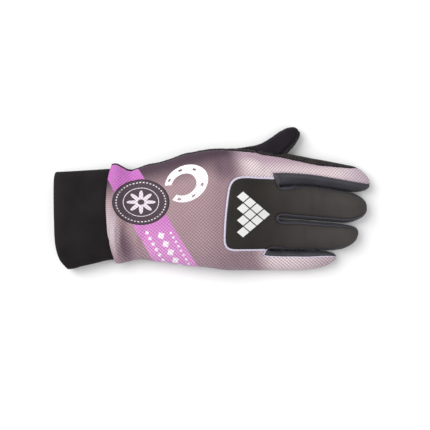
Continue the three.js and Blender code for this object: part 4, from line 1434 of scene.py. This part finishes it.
def press_seams(bm, depth):
    """Draws the seams into grooves, with the cloth puffed and puckered beside them."""
    points = [
        point for pair, edges in seam_edges(bm).items() if pair[1] != CAP for edge in edges
        for point in (edge.verts[0].co.copy(), (edge.verts[0].co + edge.verts[1].co) / 2)
    ]
    tree = KDTree(len(points))
    for i, point in enumerate(points):
        tree.insert(point, i)
    tree.balance()
    bm.normal_update()
    moves = []
    puffed, puff_at, puff_width = PUFF
    puckered, often, pucker_width = PUCKER
    for vertex in bm.verts:
        nearest, _, distance = tree.find(vertex.co)
        if distance < SEAM_REACH:
            groove = -depth * math.exp(-((distance / GROOVE_WIDTH) ** 2))
            puff = puffed * math.exp(-(((distance - puff_at) / puff_width) ** 2))
            wave = puckered * noise.noise(nearest * often)
            pucker = wave * math.exp(-((distance / pucker_width) ** 2))
            moves.append((vertex, vertex.normal * (groove + puff + pucker)))
    for vertex, move in moves:
        vertex.co += move
    for vertex in bm.verts:
        vertex.co.z = max(vertex.co.z, ABOVE_FLOOR)


def chains(edges, mark):
    """Edges as ordered runs of (point, normal, way into the panel of a mark)."""
    links = {}
    for edge in edges:
        for vertex in edge.verts:
            links.setdefault(vertex, []).append(edge)
    left = set(edges)
    runs = []
    ends = [vertex for vertex, found in links.items() if len(found) != 2]
    for start in ends + list(links):
        for first in links[start]:
            if first not in left:
                continue
            run, vertex, edge = [start], start, first
            while edge is not None:
                left.discard(edge)
                vertex = edge.other_vert(vertex)
                run.append(vertex)
                ahead = [other for other in links[vertex] if other in left]
                edge = ahead[0] if ahead and len(links[vertex]) == 2 else None
            runs.append(run)
    result = []
    for run in runs:
        rows = []
        for vertex in run:
            own = [face for face in vertex.link_faces if face.material_index == mark]
            middle = sum((face.calc_center_median() for face in own), Vector()) / max(len(own), 1)
            rows.append((vertex.co.copy(), vertex.normal.copy(), middle - vertex.co))
        if sum((a[0] - b[0]).length for a, b in zip(rows, rows[1:])) > 6:
            result.append(rows)
    return result


def even(run, step):
    """A run at even steps, smoothed a little: points with normals and ways into the panel."""
    for _ in range(2):
        inner = [
            tuple((a[k] + 2 * b[k] + c[k]) / 4 for k in range(3))
            for a, b, c in zip(run, run[1:], run[2:])
        ]
        run = [run[0], *inner, run[-1]]
    total = sum((a[0] - b[0]).length for a, b in zip(run, run[1:]))
    count = max(2, round(total / step))
    spacing = total / count
    result, gone, wanted = [], 0.0, 0.0
    for a, b in zip(run, run[1:]):
        span = (b[0] - a[0]).length
        while wanted <= gone + span + 1e-6 and len(result) <= count and span > 0:
            t = (wanted - gone) / span
            result.append(tuple(a[k].lerp(b[k], min(t, 1.0)) for k in range(3)))
            wanted += spacing
        gone += span
    return result


def sweep(bm, run, profile, ends=3, swell=lambda point: 1.0):
    """A closed profile swept along a run and rounded off at its ends: profile points are (into
    the panel, up), in mm, and swell gives its size at a point of the run."""
    last = len(run) - 1
    frames = []
    for i, (point, normal, into) in enumerate(run):
        tangent = (run[min(i + 1, last)][0] - run[max(i - 1, 0)][0]).normalized()
        up = (normal - tangent * normal.dot(tangent)).normalized()
        side = up.cross(tangent)
        if side.dot(into) < 0:
            side = -side
        frames.append((point, side, up))

    def on_sweep(column, row):
        point, side, up = frames[row]
        into, height = profile[column % len(profile)]
        edge = min(row, last - row)
        size = 1.0 if edge >= ends else math.sqrt(1 - (1 - edge / ends) ** 2)
        size *= swell(point)
        return point + side * into * size + up * height * size

    grid(bm, len(profile), last, on_sweep)


def oval(half_width, half_height, sides=8, lift=0.0, shift=0.0):
    """The points of an oval profile."""
    angles = [2 * math.pi * k / sides for k in range(sides)]
    return [(shift + half_width * math.cos(a), lift + half_height * math.sin(a)) for a in angles]


def stitch(bm, point, along, up, length, radius):
    """One stitch: a short bead of thread lying on the cloth."""
    side = up.cross(along).normalized()
    turn = Matrix((along.normalized(), side, along.cross(side).normalized())).transposed().to_4x4()
    size = Matrix.Diagonal((length / 2, radius, radius, 1.0))
    where = Matrix.Translation(point) @ turn @ size
    bmesh.ops.create_uvsphere(bm, u_segments=6, v_segments=5, radius=1.0, matrix=where)


def cuff_point(s, degrees, inset):
    """A point of the cuff, from s = 0 at its free edge to 1 under the hem."""
    cy, sz = power_point(degrees, CUFF_POWER)
    x = mix(follow(CUFF_FREE_EDGE, cy), hem_x(cy) + CUFF_TUCK, s)
    tuck = smooth(x, hem_x(cy) - 2.5, hem_x(cy) + 1.0) * CUFF_SLACK
    top, low, height = (follow(CUFF_EDGES, x, k) for k in (1, 2, 3))
    top, low, height = top - tuck - inset, low + tuck + inset, height - tuck
    widest = WIDEST * height
    reach = (height - widest) if sz > 0 else (widest + SINK * height)
    z = max(widest + sz * (reach - inset), inset + tuck * 0.8)
    if sz > 0:
        z += 0.35 * noise.noise(Vector((x * 0.05, degrees * 0.02, 0.0)))
    return x, (top + low) / 2 + cy * (top - low) / 2, z


# What the shell's operator leaves for the ones that sew on it: seams by pair, and the surface
sewn = {}


def seam_runs(pair, mark, step):
    """The runs of a pair of panels' seam at even steps, with ways into the panel of a mark."""
    return [even(run, step) for run in sewn["runs"].get((pair, mark), [])]


def gusset_start_run():
    """The seam across the start of the index finger's gusset, from its two panels' seams."""
    corner, crotch = gusset_end()
    rows = []
    for panel in (BACK, KNUCKLES):
        for run in seam_runs((panel, FOURCHETTE), FOURCHETTE, START_STEP):
            for row in run:
                down = (corner.y - row[0].y) / (corner.y - crotch.y)
                off = abs(row[0].x - mix(corner.x, crotch.x, down))
                if off < 0.8 and crotch.y - 0.5 < row[0].y < corner.y + 0.5:
                    rows.append(row)
    return sorted(rows, key=lambda row: row[0].y)


def on_cloth(point, normal, reach=3.0):
    """The place on the skin nearest to a point, and the skin's normal there."""
    found = sewn["surface"].find_nearest(point + normal * 0.5, reach)
    return (found[0], found[1]) if found[0] is not None else (point, normal)


# Operators

class GLOVE_OT_shell(Operator):
    """Sews the hand, the fingers and the thumb from their panels"""

    bl_idname = "glove.shell"
    bl_label = "Sewn shell"

    def execute(self, context):
        settings = context.scene.glove
        whole = whole_skin()
        cut_knuckles(whole)
        settle_islands(whole)
        fold_cloth(whole)
        press_seams(whole, settings.seam_depth / MM)
        whole.normal_update()
        sewn["surface"] = BVHTree.FromBMesh(whole)
        sewn["runs"] = {
            (pair, mark): chains(edges, mark)
            for pair, edges in seam_edges(whole).items() for mark in pair if mark != CAP
        }
        for index, (name, node, finish_name, slot) in enumerate(PANELS):
            part = whole.copy()
            others = [face for face in part.faces if face.material_index != index]
            if len(others) == len(part.faces):
                raise RuntimeError("no face of the skin belongs to " + name)
            bmesh.ops.delete(part, geom=others, context="FACES")
            obj = piece(part, name, finish_name, slot, node, weld=False)
            wall = obj.modifiers.new("cloth", "SOLIDIFY")
            wall.thickness = settings.cloth
            wall.offset = -1
        whole.free()
        return {"FINISHED"}


class GLOVE_OT_cuff(Operator):
    """Knits the cuff, folded over at its free edge and tucked under the hem"""

    bl_idname = "glove.cuff"
    bl_label = "Cuff"

    def execute(self, context):
        bm = bmesh.new()
        around = [360 * k / 120 for k in range(120)]
        fold = CUFF_WALL / 2
        outside = [(k / 40, 0.0, 0.0) for k in range(40, -1, -1)]
        turn = [
            (0.0, fold - fold * math.cos(math.pi * k / 6), -fold * math.sin(math.pi * k / 6))
            for k in range(1, 6)
        ]
        inside = [(k / 40, CUFF_WALL, 0.0) for k in range(41)]
        profile = outside + turn + inside

        def on_cuff(column, row):
            s, inset, ahead = profile[row % len(profile)]
            x, y, z = cuff_point(s, around[column % len(around)], inset)
            return x + fold + ahead, y, z

        grid(bm, len(around), len(profile), on_cuff)
        piece(bm, "cuff_knit", "ribbed_cuff_knit", "stretch_cuff", "cuff")
        return {"FINISHED"}


class GLOVE_OT_edging(Operator):
    """Binds the knuckle panel with pale overlock thread, and rolls the edges of the gussets"""

    bl_idname = "glove.edging"
    bl_label = "Edging and rolled edges"

    def execute(self, context):
        if not sewn:
            raise RuntimeError("sew the shell first")
        bm = bmesh.new()
        for panel, profile in ((KNUCKLES, BINDING), (FOURCHETTE + 2, THIN_RIM)):
            for run in seam_runs((BACK, panel), BACK, SWEEP_STEP):
                sweep(bm, run, oval(**profile))
        pitch, length, radius, lift, shift = OVERLOCK
        for run in seam_runs((BACK, KNUCKLES), BACK, pitch):
            for (point, normal, into), after in zip(run, run[1:]):
                along = (after[0] - point).normalized()
                side = into - along * into.dot(along)
                if side.length > 0.01:
                    side.normalize()
                    slant = side * 0.9 + along * 0.5
                    stitch(bm, point + normal * lift + side * shift, slant, normal, length, radius)
        piece(bm, "knuckle_binding", "overlock_thread", "edging", "knuckle_edging")

        bm = bmesh.new()
        for gusset, panel, size, more in GUSSET_ROLLS:
            crotch = ROOTS[gusset - FOURCHETTE + 1]

            def swell(point):
                return size * (1 + more * math.exp(-(((point.x - crotch + 1.5) / 3.2) ** 2)))

            for run in seam_runs((panel, gusset), gusset, SWEEP_STEP):
                sweep(bm, run, oval(**ROLL), swell=swell)
        sweep(bm, even(gusset_start_run(), START_STEP), oval(**GUSSET_START), ends=5)
        piece(bm, "gusset_rolls", "rolled_knit_edge", "stretch")
        return {"FINISHED"}


class GLOVE_OT_hem(Operator):
    """Turns in the wrist hem of the back and of the palm"""

    bl_idname = "glove.hem"
    bl_label = "Hem"

    def execute(self, context):
        if not sewn:
            raise RuntimeError("sew the shell first")
        for mark, name in ((BACK, "hem_back"), (PALM, "hem_palm")):
            bm = bmesh.new()
            for run in seam_runs((mark, CAP), mark, 1.2):
                sweep(bm, run, oval(**HEM_FOLD), ends=1)
            piece(bm, name, PANELS[mark][2], PANELS[mark][3])
        return {"FINISHED"}


class GLOVE_OT_stitches(Operator):
    """Sews the rows of stitches beside the seams and along the hem"""

    bl_idname = "glove.stitches"
    bl_label = "Stitches"

    def execute(self, context):
        if not sewn:
            raise RuntimeError("sew the shell first")
        pitch = context.scene.glove.stitch_pitch / MM
        length, radius = pitch * STITCH[0], STITCH[1]
        for name, finish_name, slot, rows in STITCH_ROWS:
            bm = bmesh.new()
            steps = [
                (a, b, offset) for pair, mark, offset in rows
                for run in seam_runs(pair, mark, pitch) for a, b in zip(run, run[1:])
            ]
            for a, b, offset in steps:
                along = b[0] - a[0]
                into = (a[2] + b[2]) / 2
                into -= along * (into.dot(along) / along.length_squared)
                if into.length < 0.01:
                    continue
                middle = (a[0] + b[0]) / 2 + into.normalized() * offset
                point, normal = on_cloth(middle, (a[1] + b[1]) / 2)
                point.z = max(point.z, STITCH_ABOVE_FLOOR)
                stitch(bm, point + normal * 0.04, along, normal, length, radius)
            piece(bm, name, finish_name, slot, weld=False)
        return {"FINISHED"}


class GLOVE_OT_stage(Operator):
    """Sets the pale floor, the soft lights and the camera straight above"""

    bl_idname = "glove.stage"
    bl_label = "Stage"

    def execute(self, context):
        scene = context.scene
        bm = bmesh.new()
        bmesh.ops.create_grid(bm, x_segments=4, y_segments=4, size=2.5)
        mesh = bpy.data.meshes.new("floor")
        bm.to_mesh(mesh)
        bm.free()
        mesh.materials.append(material("matt_white_paper", {"Roughness": 0.9}, paper_surface))
        shown("floor", mesh)

        camera = bpy.data.cameras.new("camera")
        camera.lens = CAMERA_LENS
        camera.sensor_width = CAMERA_SENSOR
        holder = bpy.data.objects.new("camera", camera)
        holder.location = (*CAMERA_OVER, VIEW_WIDTH / CAMERA_SENSOR * CAMERA_LENS + VIEW_HEIGHT)
        scene.collection.objects.link(holder)
        scene.camera = holder

        for name, position, size, power in LIGHTS:
            light = bpy.data.lights.new(name, "AREA")
            light.energy = power
            light.size = size
            lamp = bpy.data.objects.new(name, light)
            lamp.location = position
            lamp.rotation_euler = (-Vector(position)).to_track_quat("-Z", "Y").to_euler()
            scene.collection.objects.link(lamp)
        world = bpy.data.worlds.new("studio")
        world.use_nodes = True
        backdrop = world.node_tree.nodes["Background"]
        backdrop.inputs["Color"].default_value = (1, 1, 1, 1)
        backdrop.inputs["Strength"].default_value = WORLD_STRENGTH
        scene.world = world
        scene.view_settings.view_transform = "Standard"
        return {"FINISHED"}


class GLOVE_PT_sidebar(Panel):
    """The glove's settings and operators in the sidebar"""

    bl_idname = "GLOVE_PT_sidebar"
    bl_label = "Riding Glove"
    bl_space_type = "VIEW_3D"
    bl_region_type = "UI"
    bl_category = "Glove"

    def draw(self, context):
        for key in GloveSettings.__annotations__:
            self.layout.prop(context.scene.glove, key)
        for operator in OPERATORS:
            self.layout.operator(operator.bl_idname)


OPERATORS = (
    GLOVE_OT_shell, GLOVE_OT_cuff, GLOVE_OT_edging, GLOVE_OT_hem, GLOVE_OT_stitches, GLOVE_OT_stage,
)


def register():
    for item in (GloveSettings, *OPERATORS, GLOVE_PT_sidebar):
        bpy.utils.register_class(item)
    bpy.types.Scene.glove = PointerProperty(type=GloveSettings)


def unregister():
    del bpy.types.Scene.glove
    for item in (GLOVE_PT_sidebar, *reversed(OPERATORS), GloveSettings):
        bpy.utils.unregister_class(item)


def main():
    register()
    for operator in OPERATORS:
        group, name = operator.bl_idname.split(".")
        getattr(getattr(bpy.ops, group), name)()


if __name__ == "__main__":
    main()
